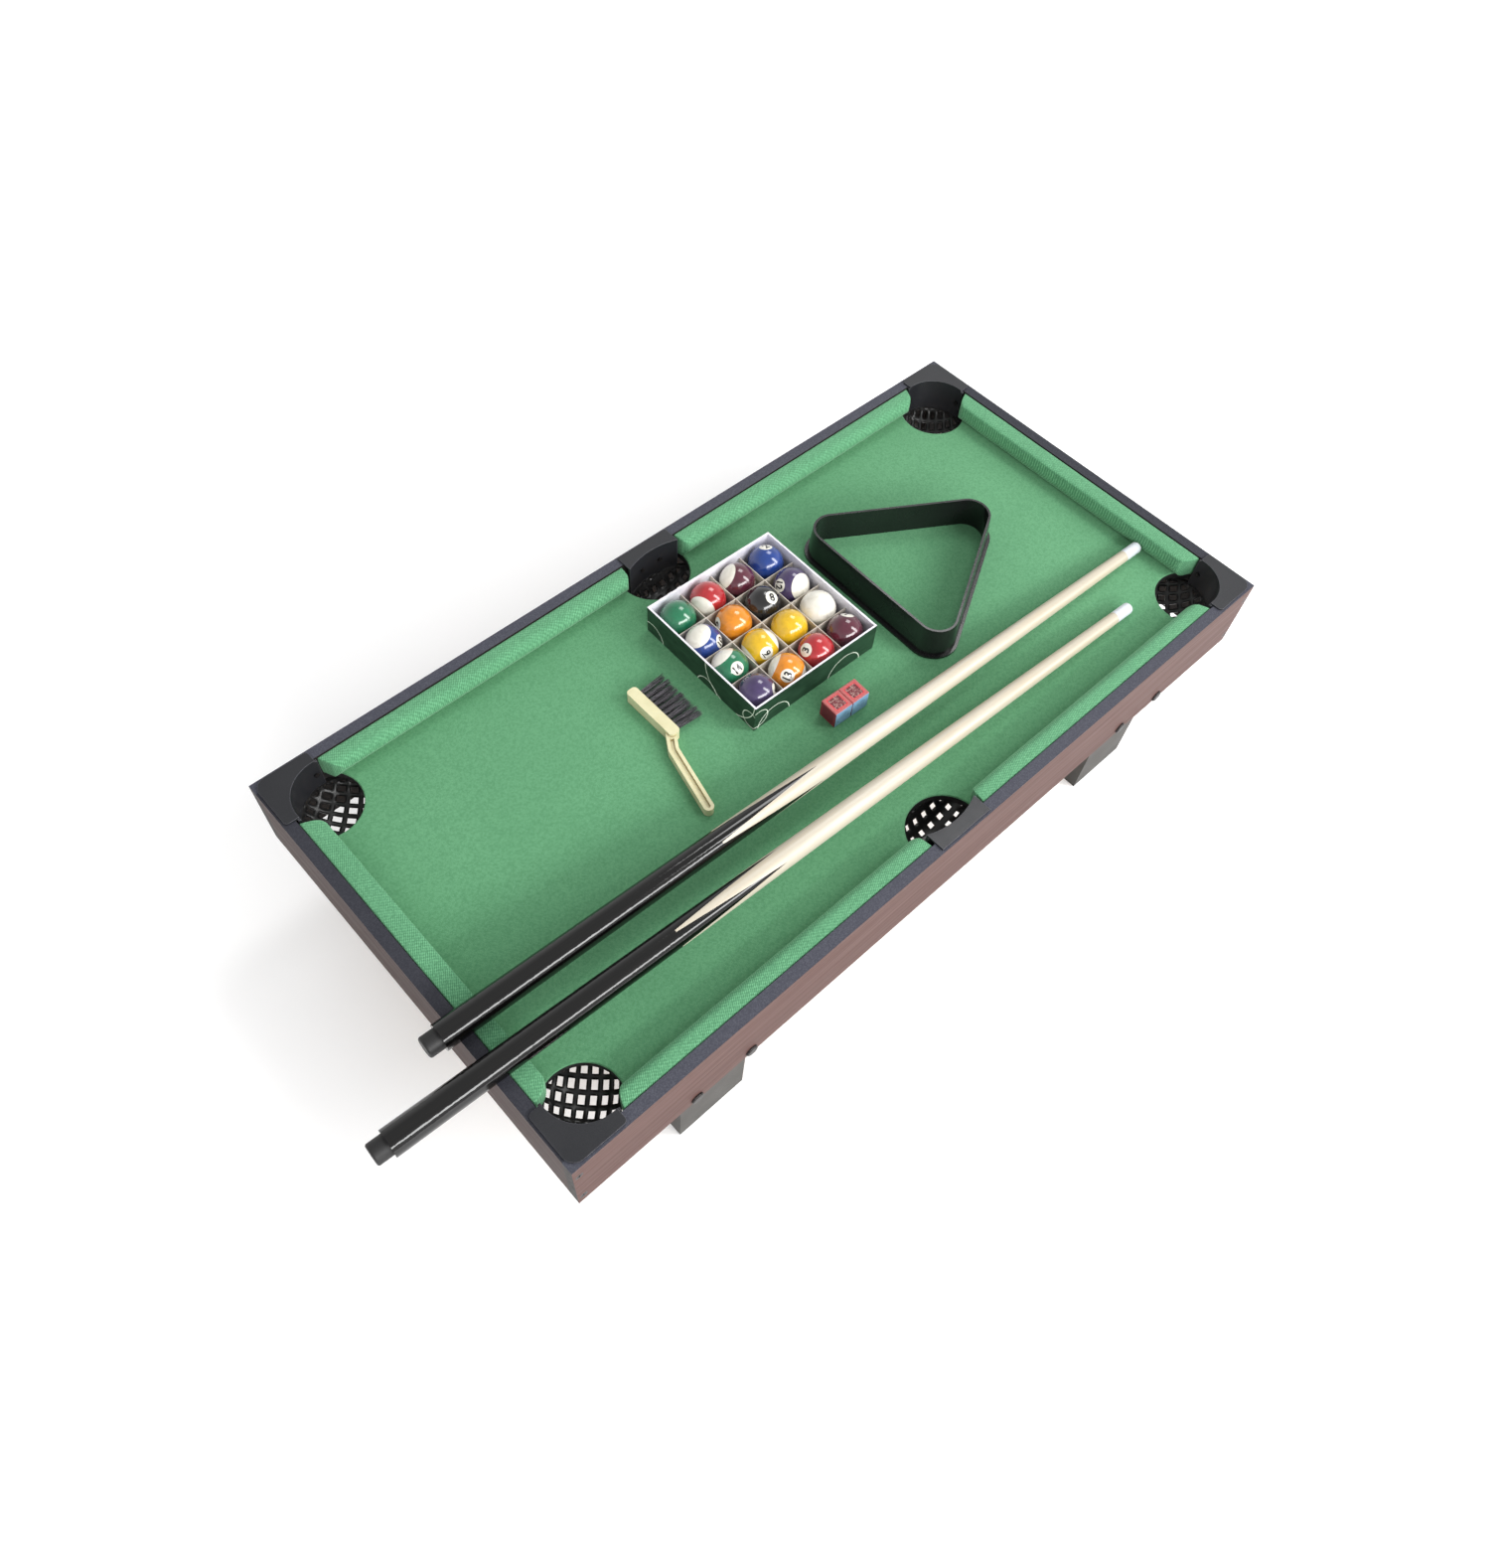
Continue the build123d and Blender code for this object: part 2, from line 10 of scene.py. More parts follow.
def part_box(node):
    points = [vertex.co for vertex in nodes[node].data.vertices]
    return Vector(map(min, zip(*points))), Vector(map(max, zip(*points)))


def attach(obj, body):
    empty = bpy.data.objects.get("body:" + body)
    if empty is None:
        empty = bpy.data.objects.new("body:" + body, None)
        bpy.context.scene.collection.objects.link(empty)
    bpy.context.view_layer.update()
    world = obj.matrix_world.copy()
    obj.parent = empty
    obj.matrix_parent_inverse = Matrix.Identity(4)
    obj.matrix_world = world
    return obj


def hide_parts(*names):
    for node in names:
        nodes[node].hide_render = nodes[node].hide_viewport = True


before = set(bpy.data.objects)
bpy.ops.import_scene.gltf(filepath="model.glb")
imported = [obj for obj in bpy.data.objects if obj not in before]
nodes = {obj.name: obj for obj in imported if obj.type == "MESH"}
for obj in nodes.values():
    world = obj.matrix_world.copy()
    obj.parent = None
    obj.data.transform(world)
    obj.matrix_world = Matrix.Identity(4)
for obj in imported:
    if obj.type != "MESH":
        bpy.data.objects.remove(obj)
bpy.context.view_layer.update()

MM = 0.001

# ---------------------------------------------------------------- camera
LENS = 28.077
CAMERA_PLACE = (-0.56520, -0.47239, 1.16146)
CAMERA_RIGHT = Vector((0.73148, -0.67976, 0.05350))
CAMERA_UP = Vector((0.5544, 0.6386, 0.5337))

back = CAMERA_RIGHT.cross(CAMERA_UP).normalized()
right = CAMERA_UP.cross(back).normalized()
up = back.cross(right).normalized()
camera = bpy.data.objects.new("camera", bpy.data.cameras.new("camera"))
bpy.context.scene.collection.objects.link(camera)
camera.data.sensor_width = 36
camera.data.lens = LENS
camera.data.clip_start = 0.01
camera.matrix_world = Matrix(
    [
        (right.x, up.x, back.x, CAMERA_PLACE[0]),
        (right.y, up.y, back.y, CAMERA_PLACE[1]),
        (right.z, up.z, back.z, CAMERA_PLACE[2]),
        (0, 0, 0, 1),
    ]
)
bpy.context.scene.camera = camera
bpy.context.scene.view_settings.view_transform = "Standard"


# ---------------------------------------------------------------- shader helpers
def add(tree, kind, inputs=None, **props):
    """A shader node with its properties and inputs set; an input is a value or a socket to link."""
    node = tree.nodes.new(kind)
    for key, value in props.items():
        setattr(node, key, value)
    for key, value in (inputs or {}).items():
        if isinstance(value, bpy.types.NodeSocket):
            tree.links.new(value, node.inputs[key])
        else:
            node.inputs[key].default_value = value
    return node


def rgb(r, g, b):
    """A display colour, 0 to 255, as the linear colour that shaders take."""
    def linear(c):
        c /= 255
        return c / 12.92 if c <= 0.04045 else ((c + 0.055) / 1.055) ** 2.4
    return (linear(r), linear(g), linear(b), 1)


def material(name, roughness=0.5, **sockets):
    """A new material: its tree, its Principled shader and object coordinates."""
    made = bpy.data.materials.new(name)
    made.use_nodes = True
    tree = made.node_tree
    shader = tree.nodes["Principled BSDF"]
    shader.inputs["Roughness"].default_value = roughness
    for key, value in sockets.items():
        shader.inputs[key.replace("_", " ")].default_value = value
    place = add(tree, "ShaderNodeTexCoord").outputs["Object"]
    return made, tree, shader, place


def stretched(tree, place, scale, rotation=(0, 0, 0), location=(0, 0, 0), kind="POINT"):
    """The coordinates scaled, turned and moved."""
    return add(
        tree,
        "ShaderNodeMapping",
        {"Vector": place, "Location": location, "Rotation": rotation, "Scale": scale},
        vector_type=kind,
    ).outputs["Vector"]


def noise(tree, place, scale, detail=4.0, rough=0.5, distortion=0.0):
    """Noise from 0 to 1."""
    return add(
        tree,
        "ShaderNodeTexNoise",
        {"Vector": place, "Scale": scale, "Detail": detail, "Roughness": rough, "Distortion": distortion},
    ).outputs["Fac"]


def remap(tree, value, low, high, to_low=0.0, to_high=1.0):
    """value stretched from low..high to to_low..to_high, clamped."""
    return add(
        tree,
        "ShaderNodeMapRange",
        {"Value": value, "From Min": low, "From Max": high, "To Min": to_low, "To Max": to_high},
    ).outputs["Result"]


def mix(tree, factor, a, b):
    """Colour a to colour b by factor."""
    node = tree.nodes.new("ShaderNodeMix")
    node.data_type = "RGBA"
    for socket, value in ((node.inputs[0], factor), (node.inputs[6], a), (node.inputs[7], b)):
        if isinstance(value, bpy.types.NodeSocket):
            tree.links.new(value, socket)
        else:
            socket.default_value = value
    return node.outputs[2]


def maths(tree, operation, a, b=0.0, c=0.0):
    """A Math node's result."""
    return add(tree, "ShaderNodeMath", {0: a, 1: b, 2: c}, operation=operation).outputs[0]


def axis_of(tree, place, axis):
    """One coordinate of a vector."""
    return add(tree, "ShaderNodeSeparateXYZ", {"Vector": place}).outputs[axis]


def bump(tree, shader, height, distance, strength=1.0, normal=None):
    """Bump on the shader, distance in metres."""
    node = add(tree, "ShaderNodeBump", {"Height": height, "Distance": distance, "Strength": strength})
    if normal is not None:
        tree.links.new(normal, node.inputs["Normal"])
    tree.links.new(node.outputs["Normal"], shader.inputs["Normal"])


def colour(tree, shader, value):
    tree.links.new(value, shader.inputs["Base Color"])


def roughness(tree, shader, value):
    tree.links.new(value, shader.inputs["Roughness"])


def facing_up(tree):
    """1 on faces that look straight up or down, 0 on walls."""
    normal = add(tree, "ShaderNodeNewGeometry").outputs["True Normal"]
    return maths(tree, "ABSOLUTE", axis_of(tree, normal, "Z"))


def worn_edges(tree, radius):
    """Rounded normals for sharp edges, and a mask that is 1 on those edges."""
    rounded = add(tree, "ShaderNodeBevel", {"Radius": radius}, samples=6).outputs[0]
    plain = add(tree, "ShaderNodeNewGeometry").outputs["Normal"]
    node = add(tree, "ShaderNodeVectorMath", {0: rounded, 1: plain}, operation="DOT_PRODUCT")
    return rounded, remap(tree, node.outputs["Value"], 0.995, 0.86)


def dress(made, *names):
    """Gives the CAD nodes one material."""
    for name in names:
        slots = nodes[name].data.materials
        slots.clear()
        slots.append(made)


# ---------------------------------------------------------------- table sizes
bed_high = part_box("bed_cloth")[1]
panel_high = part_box("side_panel_back")[1]
IN_L, IN_W = bed_high.x, bed_high.y
HALF_L, HALF_W = panel_high.x, panel_high.y
BED_Z = bed_high.z
POCKET_R = 37 * MM
POCKET_INSET = 43.5 * MM
SIDE_R = 39.5 * MM
SIDE_INSET = 21.5 * MM

# ---------------------------------------------------------------- materials
def walnut(name, along, painted_shade=1.0):
    """Printed walnut board with charcoal edge strips, top and bottom; the grain runs along x or y.

    painted_shade below 1 darkens the whole board as painted shade, for boards that get less light.
    """
    made, tree, shader, place = material(name, roughness=0.5, Specular_IOR_Level=0.14)
    def toned(r, g, b):
        return rgb(r * painted_shade, g * painted_shade, b * painted_shade)

    fine = (6, 260, 260) if along == "X" else (260, 6, 260)
    broad = (1.6, 34, 34) if along == "X" else (34, 1.6, 34)
    fibres = noise(tree, stretched(tree, place, fine), 1, 6, 0.65)
    bands = noise(tree, stretched(tree, place, broad), 1, 5, 0.6, 1.2)
    pores = noise(tree, stretched(tree, place, tuple(4 * s for s in fine)), 1, 2, 0.5)
    base = mix(tree, remap(tree, bands, 0.3, 0.7), toned(78, 53, 48), toned(89, 64, 59))
    base = mix(tree, remap(tree, fibres, 0.35, 0.75, 0, 0.4), base, toned(66, 43, 39))
    base = mix(tree, remap(tree, pores, 0.62, 0.75, 0, 0.35), base, toned(52, 34, 30))
    speck = noise(tree, place, 900, 2)
    strip = mix(tree, remap(tree, speck, 0.4, 0.7), toned(62, 63, 72), toned(78, 79, 88))
    top = remap(tree, facing_up(tree), 0.5, 0.6)
    base = mix(tree, top, base, strip)
    # Painted shade: the inner faces behind the outer face are painted near black for the dark inside of
    # the table.
    across, face_at = ("Y", HALF_W) if along == "X" else ("X", HALF_L)
    depth = maths(tree, "ABSOLUTE", axis_of(tree, place, across))
    behind_face = maths(tree, "LESS_THAN", depth, face_at - 0.5 * MM)
    inner = maths(tree, "MULTIPLY", behind_face, maths(tree, "SUBTRACT", 1, top))
    inner_painted_shade = mix(tree, remap(tree, speck, 0.35, 0.7), rgb(34, 31, 30), rgb(50, 46, 44))
    colour(tree, shader, mix(tree, inner, base, inner_painted_shade))
    roughness(tree, shader, remap(tree, fibres, 0.3, 0.7, 0.46, 0.62))
    bump(tree, shader, maths(tree, "ADD", fibres, maths(tree, "MULTIPLY", speck, 0.4)), 0.00012, 0.5)
    return made


def speckled_board(name):
    """Grey speckled laminate of the legs."""
    made, tree, shader, place = material(name, roughness=0.55, Specular_IOR_Level=0.2)
    specks = noise(tree, place, 1400, 2)
    clouds = noise(tree, place, 30, 3)
    base = mix(tree, remap(tree, clouds, 0.3, 0.7), rgb(62, 60, 57), rgb(76, 74, 71))
    base = mix(tree, remap(tree, specks, 0.5, 0.75, 0, 0.5), base, rgb(52, 50, 48))
    colour(tree, shader, base)
    bump(tree, shader, specks, 0.00008, 0.4)
    return made


def fibre_board(name, cut_dark):
    """Raw fibreboard; the cut walls of the pocket holes can be painted near black as painted shade, for
    the dark inside the holes.
    """
    made, tree, shader, place = material(name, roughness=0.85)
    flakes = noise(tree, place, 500, 4, 0.7)
    clouds = noise(tree, place, 12, 3)
    base = mix(tree, remap(tree, flakes, 0.3, 0.75), rgb(150, 118, 82), rgb(186, 154, 112))
    base = mix(tree, remap(tree, clouds, 0.3, 0.7, 0, 0.3), base, rgb(132, 102, 70))
    # Painted shade: the walls of the holes are painted near black.
    if cut_dark:
        painted_shade_walls = mix(tree, remap(tree, flakes, 0.3, 0.75), rgb(12, 12, 12), rgb(26, 25, 24))
        base = mix(tree, remap(tree, facing_up(tree), 0.4, 0.6), painted_shade_walls, base)
    colour(tree, shader, base)
    bump(tree, shader, flakes, 0.0002, 0.5)
    return made


def cloth(name, dark, light, thread=0.0009, woven=0.3):
    """Green napped cloth with a fine twill and lint; woven is the twill's share against the nap."""
    made, tree, shader, place = material(name, roughness=0.93)
    shader.inputs["Sheen Weight"].default_value = 0.25
    shader.inputs["Sheen Roughness"].default_value = 0.5
    shader.inputs["Sheen Tint"].default_value = rgb(190, 235, 200)
    turned = stretched(tree, place, (1, 1, 1), rotation=(0, 0, math.radians(32)))
    wobble = noise(tree, place, 260, 2)
    lines = maths(
        tree,
        "SINE",
        maths(
            tree,
            "ADD",
            maths(tree, "MULTIPLY", axis_of(tree, turned, "X"), 2 * math.pi / thread),
            maths(tree, "MULTIPLY", wobble, 5),
        ),
    )
    cross = maths(
        tree,
        "SINE",
        maths(
            tree,
            "ADD",
            maths(tree, "MULTIPLY", axis_of(tree, turned, "Y"), 2 * math.pi / (1.6 * thread)),
            maths(tree, "MULTIPLY", wobble, 4),
        ),
    )
    weave = maths(tree, "MULTIPLY_ADD", lines, 0.3, 0.5)
    weave = maths(tree, "MULTIPLY_ADD", cross, 0.15, weave)
    nap = noise(tree, place, 1500, 3, 0.6)
    patches = noise(tree, place, 14, 4, 0.6)
    mottle = noise(tree, place, 420, 2, 0.6)
    lint = noise(tree, stretched(tree, place, (300, 900, 900), rotation=(0, 0, 0.7)), 1, 2)
    tone = maths(tree, "MULTIPLY_ADD", nap, 1 - woven, maths(tree, "MULTIPLY", weave, woven))
    base = mix(tree, remap(tree, tone, 0.3, 0.7), dark, light)
    base = mix(tree, remap(tree, patches, 0.35, 0.7, 0, 0.2), base, dark)
    base = mix(tree, remap(tree, mottle, 0.4, 0.66, 0, 0.6), base, dark)
    base = mix(tree, remap(tree, lint, 0.7, 0.8, 0, 0.35), base, rgb(170, 215, 180))
    colour(tree, shader, base)
    bump(tree, shader, maths(tree, "ADD", nap, maths(tree, "MULTIPLY", weave, 0.5)), 0.0003, 0.6)
    return made


def moulded(name, tint, rough, coat=0.0, edge=None):
    """Black or dark moulded plastic with a fine spark-eroded grain and faint scuffs; with edge, its edges
    are paler, partly rubbed wear and partly painted highlight.
    """
    made, tree, shader, place = material(name, roughness=rough)
    shader.inputs["Coat Weight"].default_value = coat
    grains = noise(tree, place, 1600, 2)
    scuffs = noise(tree, stretched(tree, place, (40, 420, 420), rotation=(0, 0, 0.5)), 1, 5, 0.7)
    clouds = noise(tree, place, 25, 3)
    r, g, b, _ = tint
    lifted = (min(1, r * 1.5 + 0.004), min(1, g * 1.5 + 0.004), min(1, b * 1.5 + 0.004), 1)
    base = mix(tree, remap(tree, grains, 0.4, 0.7), tint, lifted)
    base = mix(tree, remap(tree, scuffs, 0.66, 0.8, 0, 0.25), base, lifted)
    normal = None
    if edge:
        normal, worn = worn_edges(tree, edge)
        # Paler edges: partly rubbed wear, partly a painted highlight where the rounded edge catches the
        # light.
        base = mix(tree, maths(tree, "MULTIPLY", worn, 0.6), base, rgb(112, 112, 120))
    colour(tree, shader, base)
    roughness(tree, shader, remap(tree, clouds, 0.3, 0.7, rough - 0.06, rough + 0.08))
    bump(tree, shader, grains, 0.00006, 0.6, normal)
    return made


def steel(name):
    """Blackened steel of the screws and bolts."""
    made, tree, shader, place = material(name, roughness=0.42, Metallic=0.8)
    worn = noise(tree, place, 700, 4, 0.7)
    colour(tree, shader, mix(tree, remap(tree, worn, 0.45, 0.75), rgb(38, 36, 36), rgb(92, 88, 86)))
    roughness(tree, shader, remap(tree, worn, 0.3, 0.7, 0.3, 0.55))
    bump(tree, shader, worn, 0.00005, 0.5)
    return made


CLOTH_DARK = rgb(65, 122, 82)
CLOTH_LIGHT = rgb(106, 165, 122)
bed_green = cloth("bed_green", CLOTH_DARK, CLOTH_LIGHT)
rail_green = cloth("rail_green", rgb(60, 116, 80), rgb(110, 174, 130), 0.0017, 0.55)
cap_black = moulded("cap_black", rgb(22, 23, 27), 0.4, edge=0.7 * MM)
basket_black = moulded("basket_black", rgb(20, 20, 20), 0.35)
rack_black = moulded("rack_black", rgb(11, 11, 12), 0.26, coat=0.15)
rubber_black = moulded("rubber_black", rgb(9, 9, 10), 0.55)
screw_steel = steel("screw_steel")
grey_board = speckled_board("grey_board")

dress(walnut("walnut_long", "X"), "side_panel_front", "side_panel_back")
# The end panels' print is darkened to 0.74 as painted shade, for the weaker light on them than on the
# long panels.
dress(walnut("walnut_short", "Y", 0.74), "end_panel_left", "end_panel_right")
dress(fibre_board("bed_fibreboard", True), "bed_board")
dress(fibre_board("raw_board", False), "bed_cleats")
dress(grey_board, *[n for n in nodes if n.startswith("leg_") and n[4:] not in ("bolts", "nuts")])
dress(cap_black, *[n for n in nodes if "_cap_" in n])
dress(screw_steel, "leg_bolts", "leg_nuts", "panel_screws", "cap_screws")
dress(rack_black, "rack")
dress(rubber_black, "cue_1_bumper", "cue_2_bumper")

# ---------------------------------------------------------------- mesh helpers
def piece(name, points, faces, made, body, smooth=True):
    """A mesh object in the row frame that rides on a body. Points are in metres."""
    mesh = bpy.data.meshes.new(name)
    mesh.from_pydata(points, [], faces)
    mesh.validate()
    mesh.materials.append(made)
    mesh.polygons.foreach_set("use_smooth", [smooth] * len(mesh.polygons))
    thing = bpy.data.objects.new(name, mesh)
    bpy.context.scene.collection.objects.link(thing)
    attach(thing, body)
    return thing


def outward(thing):
    """Makes every face of a closed mesh look outwards."""
    work = bmesh.new()
    work.from_mesh(thing.data)
    bmesh.ops.recalc_face_normals(work, faces=work.faces)
    work.to_mesh(thing.data)
    work.free()


def strip(first, second):
    """Quads between two rows of point numbers."""
    return [(a, b, d, c) for a, b, c, d in zip(first, first[1:], second, second[1:])]


# ---------------------------------------------------------------- bed cloth
WRAP_R = 0.9 * MM
WRAP_IN = 0.4 * MM
WRAP_DROP = 1.6 * MM
ARC_STEPS = 40


def pocket_arc(cx, cy, r, start, stop):
    """Directions and points round a pocket, from angle start to stop, clockwise."""
    found = []
    for k in range(ARC_STEPS + 1):
        a = start + (stop - start) * k / ARC_STEPS
        found.append(((math.cos(a), math.sin(a)), (cx, cy), r))
    return found


def bed_sheet():
    """The bed cloth: one flat sheet whose pocket edges turn down into the holes."""
    px, py = HALF_L - POCKET_INSET, HALF_W - POCKET_INSET
    corner_half = math.asin((IN_W - py) / POCKET_R)
    side_half = math.asin((IN_W - (HALF_W - SIDE_INSET)) / SIDE_R)
    quarter = math.pi / 2
    arcs = []
    for cx, cy, r, half, turn in (
        (-px, -py, POCKET_R, corner_half, 0),
        (0, SIDE_INSET - HALF_W, SIDE_R, None, 0),
        (px, -py, POCKET_R, corner_half, 1),
        (px, py, POCKET_R, corner_half, 2),
        (0, HALF_W - SIDE_INSET, SIDE_R, None, 2),
        (-px, py, POCKET_R, corner_half, 3),
    ):
        if half is None:
            start, stop = math.pi + side_half, -side_half
        else:
            start, stop = quarter + half, -half
        arcs.append(pocket_arc(cx, cy, r, start + turn * quarter, stop + turn * quarter))
    points, outline, rims = [], [], []
    for arc in arcs:
        rows = []
        for k in range(5):
            a = quarter * k / 4
            rows.append((WRAP_R * (1 - math.sin(a)) - WRAP_IN, -WRAP_R * (1 - math.cos(a))))
        rows.append((-WRAP_IN, -WRAP_DROP))
        ring = []
        for out, down in rows:
            ring.append(list(range(len(points), len(points) + len(arc))))
            points += [
                (c[0] + d[0] * (r + out), c[1] + d[1] * (r + out), BED_Z + down) for d, c, r in arc
            ]
        outline += ring[0]
        rims.append(ring)
    faces = [tuple(outline)]
    for ring in rims:
        for upper, lower in zip(ring, ring[1:]):
            faces += strip(upper, lower)
    sheet = piece("bed_cloth_sheet", points, faces, bed_green, "table")
    sheet.data.polygons[0].use_smooth = False
    return sheet


bed_sheet_piece = bed_sheet()
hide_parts("bed_cloth")

# ---------------------------------------------------------------- cushions
# depth from the panel, top and bottom heights above the bed, in mm
RAIL_PROFILE = (
    (0.3, 23.2, 0.3),
    (0.9, 24.1, 0.2),
    (3, 24.45, 0.2),
    (7, 24.5, 0.2),
    (11, 24.4, 0.2),
    (13, 24.1, 0.5),
    (15, 23.3, 3.8),
    (16.8, 21.9, 7.0),
    (18.3, 20.0, 9.6),
    (19.4, 18.0, 11.4),
    (19.95, 15.9, 12.8),
)
# the end rails are flatter on top, with a sharper nose
END_PROFILE = (
    (0.3, 23.2, 0.3),
    (0.9, 24.1, 0.2),
    (3, 24.45, 0.2),
    (8, 24.5, 0.2),
    (13, 24.4, 0.2),
    (16, 24.2, 1.2),
    (18, 23.9, 4.8),
    (19.2, 23.3, 8.0),
    (19.7, 22.4, 10.6),
    (19.9, 21.0, 12.6),
    (19.95, 19.0, 15.0),
)
NOSE_R = 9
NOSE_DEPTH = 20.3
SLANT_DEPTH = 21
END_WALLS = 5


def end_setback(depth, slant):
    """How far a cushion's end is set back at a depth, in mm: the slant and the nose's rounding."""
    back_by = slant * depth / SLANT_DEPTH
    into = (depth - (NOSE_DEPTH - NOSE_R)) / NOSE_R
    if into > 0:
        back_by += NOSE_R * (1 - math.sqrt(max(0.0, 1 - into * into)))
    return back_by


def cushion(node, origin, along, inward, low, high, low_slant, high_slant, profile=RAIL_PROFILE):
    """A cloth-covered rail cushion. low and high are its ends at the panel, in mm along the rail."""
    along, inward, origin = Vector(along), Vector(inward), Vector(origin)
    length = high - low
    shares = [0, 0.8 / length, 2.5 / length, 6 / length]
    inner = int(length / 14)
    shares += [6 / length + (1 - 12 / length) * k / inner for k in range(1, inner)]
    shares += [1 - 6 / length, 1 - 2.5 / length, 1 - 0.8 / length, 1]
    rng = random.Random(node)
    waves = [(rng.uniform(40, 130), rng.uniform(0, 6.3)) for _ in range(3)]
    points, rings = [], []

    def put(depth, height, share):
        first = low + end_setback(depth, low_slant)
        last = high - end_setback(depth, high_slant)
        x = first + (last - first) * share
        wave = sum(math.sin(x * 6.283 / w + f) for w, f in waves) / 3
        fade = min(1, height / 12)
        place = origin + along * (x * MM)
        place += inward * ((depth + 0.12 * wave * min(1, depth / 15)) * MM)
        place.z += (height - 0.1 + 0.1 * wave * fade) * MM
        points.append(tuple(place))
        return len(points) - 1

    for share in shares:
        top = [put(d, t, share) for d, t, _ in profile]
        foot = [put(d, b, share) for d, _, b in reversed(profile)]
        rings.append(top + foot)
    faces = []
    for a, b in zip(rings, rings[1:]):
        faces += strip(a + a[:1], b + b[:1])
    n = len(profile)
    for ring, share in ((rings[0], 0), (rings[-1], 1)):
        tops, feet = ring[:n], ring[n:][::-1]
        rows = [tops]
        for k in range(1, END_WALLS):
            f = k / END_WALLS
            rows.append([put(d, t + (b - t) * f, share) for d, t, b in profile])
        rows.append(feet)
        for a, b in zip(rows, rows[1:]):
            faces += strip(a, b)
        for side in (0, n - 1):
            rim = [row[side] for row in rows]
            faces.append(tuple(rim))
    made = piece(node + "_cloth", points, faces, rail_green, "table")
    outward(made)
    made.modifiers.new("soften", "SUBSURF").levels = 1
    made.modifiers["soften"].render_levels = 1
    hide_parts(node)
    return made


SIDE_LOW, RAIL_HIGH = 35.5, 398
END_REACH = 170.5
SIDE_SLANT, END_SLANT = 3, 9
for side, sy in (("front", -1), ("back", 1)):
    for end, sx in (("left", -1), ("right", 1)):
        cushion(
            f"cushion_{side}_{end}",
            (0, sy * IN_W, BED_Z),
            (sx, 0, 0),
            (0, -sy, 0),
            SIDE_LOW,
            RAIL_HIGH,
            SIDE_SLANT,
            END_SLANT,
        )
for end, sx in (("left", -1), ("right", 1)):
    cushion(
        f"cushion_end_{end}",
        (sx * IN_L, 0, BED_Z),
        (0, 1, 0),
        (-sx, 0, 0),
        -END_REACH,
        END_REACH,
        END_SLANT,
        END_SLANT,
        END_PROFILE,
    )

# ---------------------------------------------------------------- baskets
BASKET_WALL = 1.8
BASKET_DEPTH = 27 - BASKET_WALL / 2
BASKET_R = 40.5 - BASKET_WALL / 2
BOTTOM_R = 48 - BASKET_WALL / 2
KNUCKLE_R = 8 - BASKET_WALL / 2


def oval_reach(half, angle):
    """Distance from the middle of an oval to its edge in a direction."""
    return 1 / math.hypot(math.cos(angle) / half[0], math.sin(angle) / half[1])


def bowl_point(u, v, half):
    """Where the point u, v of a flat disc lands when pressed into the bowl, in mm from the rim."""
    angle = math.atan2(v, u)
    stretch = oval_reach(half, angle) / BASKET_R
    run = math.hypot(u, v) / stretch
    lean = math.asin((BASKET_R - KNUCKLE_R) / (BOTTOM_R - KNUCKLE_R))
    knuckle_height = BOTTOM_R - (BOTTOM_R - KNUCKLE_R) * math.cos(lean)
    bottom_run = BOTTOM_R * lean
    wall_run = bottom_run + KNUCKLE_R * (math.pi / 2 - lean)
    if run <= bottom_run:
        r, z = BOTTOM_R * math.sin(run / BOTTOM_R), BOTTOM_R * (1 - math.cos(run / BOTTOM_R))
    elif run <= wall_run:
        a = lean + (run - bottom_run) / KNUCKLE_R
        r, z = BASKET_R - KNUCKLE_R * (1 - math.sin(a)), knuckle_height - KNUCKLE_R * math.cos(a)
    else:
        r, z = BASKET_R, knuckle_height + run - wall_run
    z = min(z, BASKET_DEPTH - 1)
    return r * stretch * math.cos(angle), r * stretch * math.sin(angle), z - BASKET_DEPTH


def grid_lines(pitch, hole, shift, reach, step):
    """Cuts along one axis of the lattice, and whether the gap after each one is a hole's."""
    cuts, open_after = [], []
    count = int(reach / pitch) + 1
    for k in range(-count, count + 1):
        start = (k + shift) * pitch - hole / 2
        for length, is_open in ((hole, True), (pitch - hole, False)):
            parts = max(1, round(length / step))
            for j in range(parts):
                cuts.append(start + length * j / parts)
                open_after.append(is_open)
            start += length
    return cuts, open_after


def basket(name, middle, turn, half, pitch, hole, shift):
    """A moulded lattice basket: a sheet of bars pressed into the bowl."""
    reach = BASKET_DEPTH + max(half) + 14
    us, u_open = grid_lines(pitch[0], hole[0], shift[0], reach, 2.2)
    vs, v_open = grid_lines(pitch[1], hole[1], shift[1], reach, 2.2)
    middle_half = [h - BASKET_WALL / 2 for h in half]
    c, s = math.cos(turn), math.sin(turn)
    number, points, faces = {}, [], []

    def corner(i, j):
        if (i, j) not in number:
            u, v = us[i], vs[j]
            x, y, z = bowl_point(u * c - v * s, u * s + v * c, middle_half)
            number[i, j] = len(points)
            points.append((middle[0] + x * MM, middle[1] + y * MM, middle[2] + z * MM))
        return number[i, j]

    for i in range(len(us) - 1):
        for j in range(len(vs) - 1):
            if u_open[i] and v_open[j]:
                continue
            quad = [corner(i, j), corner(i + 1, j), corner(i + 1, j + 1), corner(i, j + 1)]
            if min(points[q][2] for q in quad) > middle[2] - 1.01 * MM:
                continue
            faces.append(tuple(quad))
    made = piece(name, points, faces, basket_black, "table")
    work = bmesh.new()
    work.from_mesh(made.data)
    bmesh.ops.remove_doubles(work, verts=work.verts, dist=0.02 * MM)
    bmesh.ops.delete(work, geom=[v for v in work.verts if not v.link_faces], context="VERTS")
    work.to_mesh(made.data)
    work.free()
    thick = made.modifiers.new("wall", "SOLIDIFY")
    thick.thickness = BASKET_WALL * MM
    thick.offset = 0
    return made


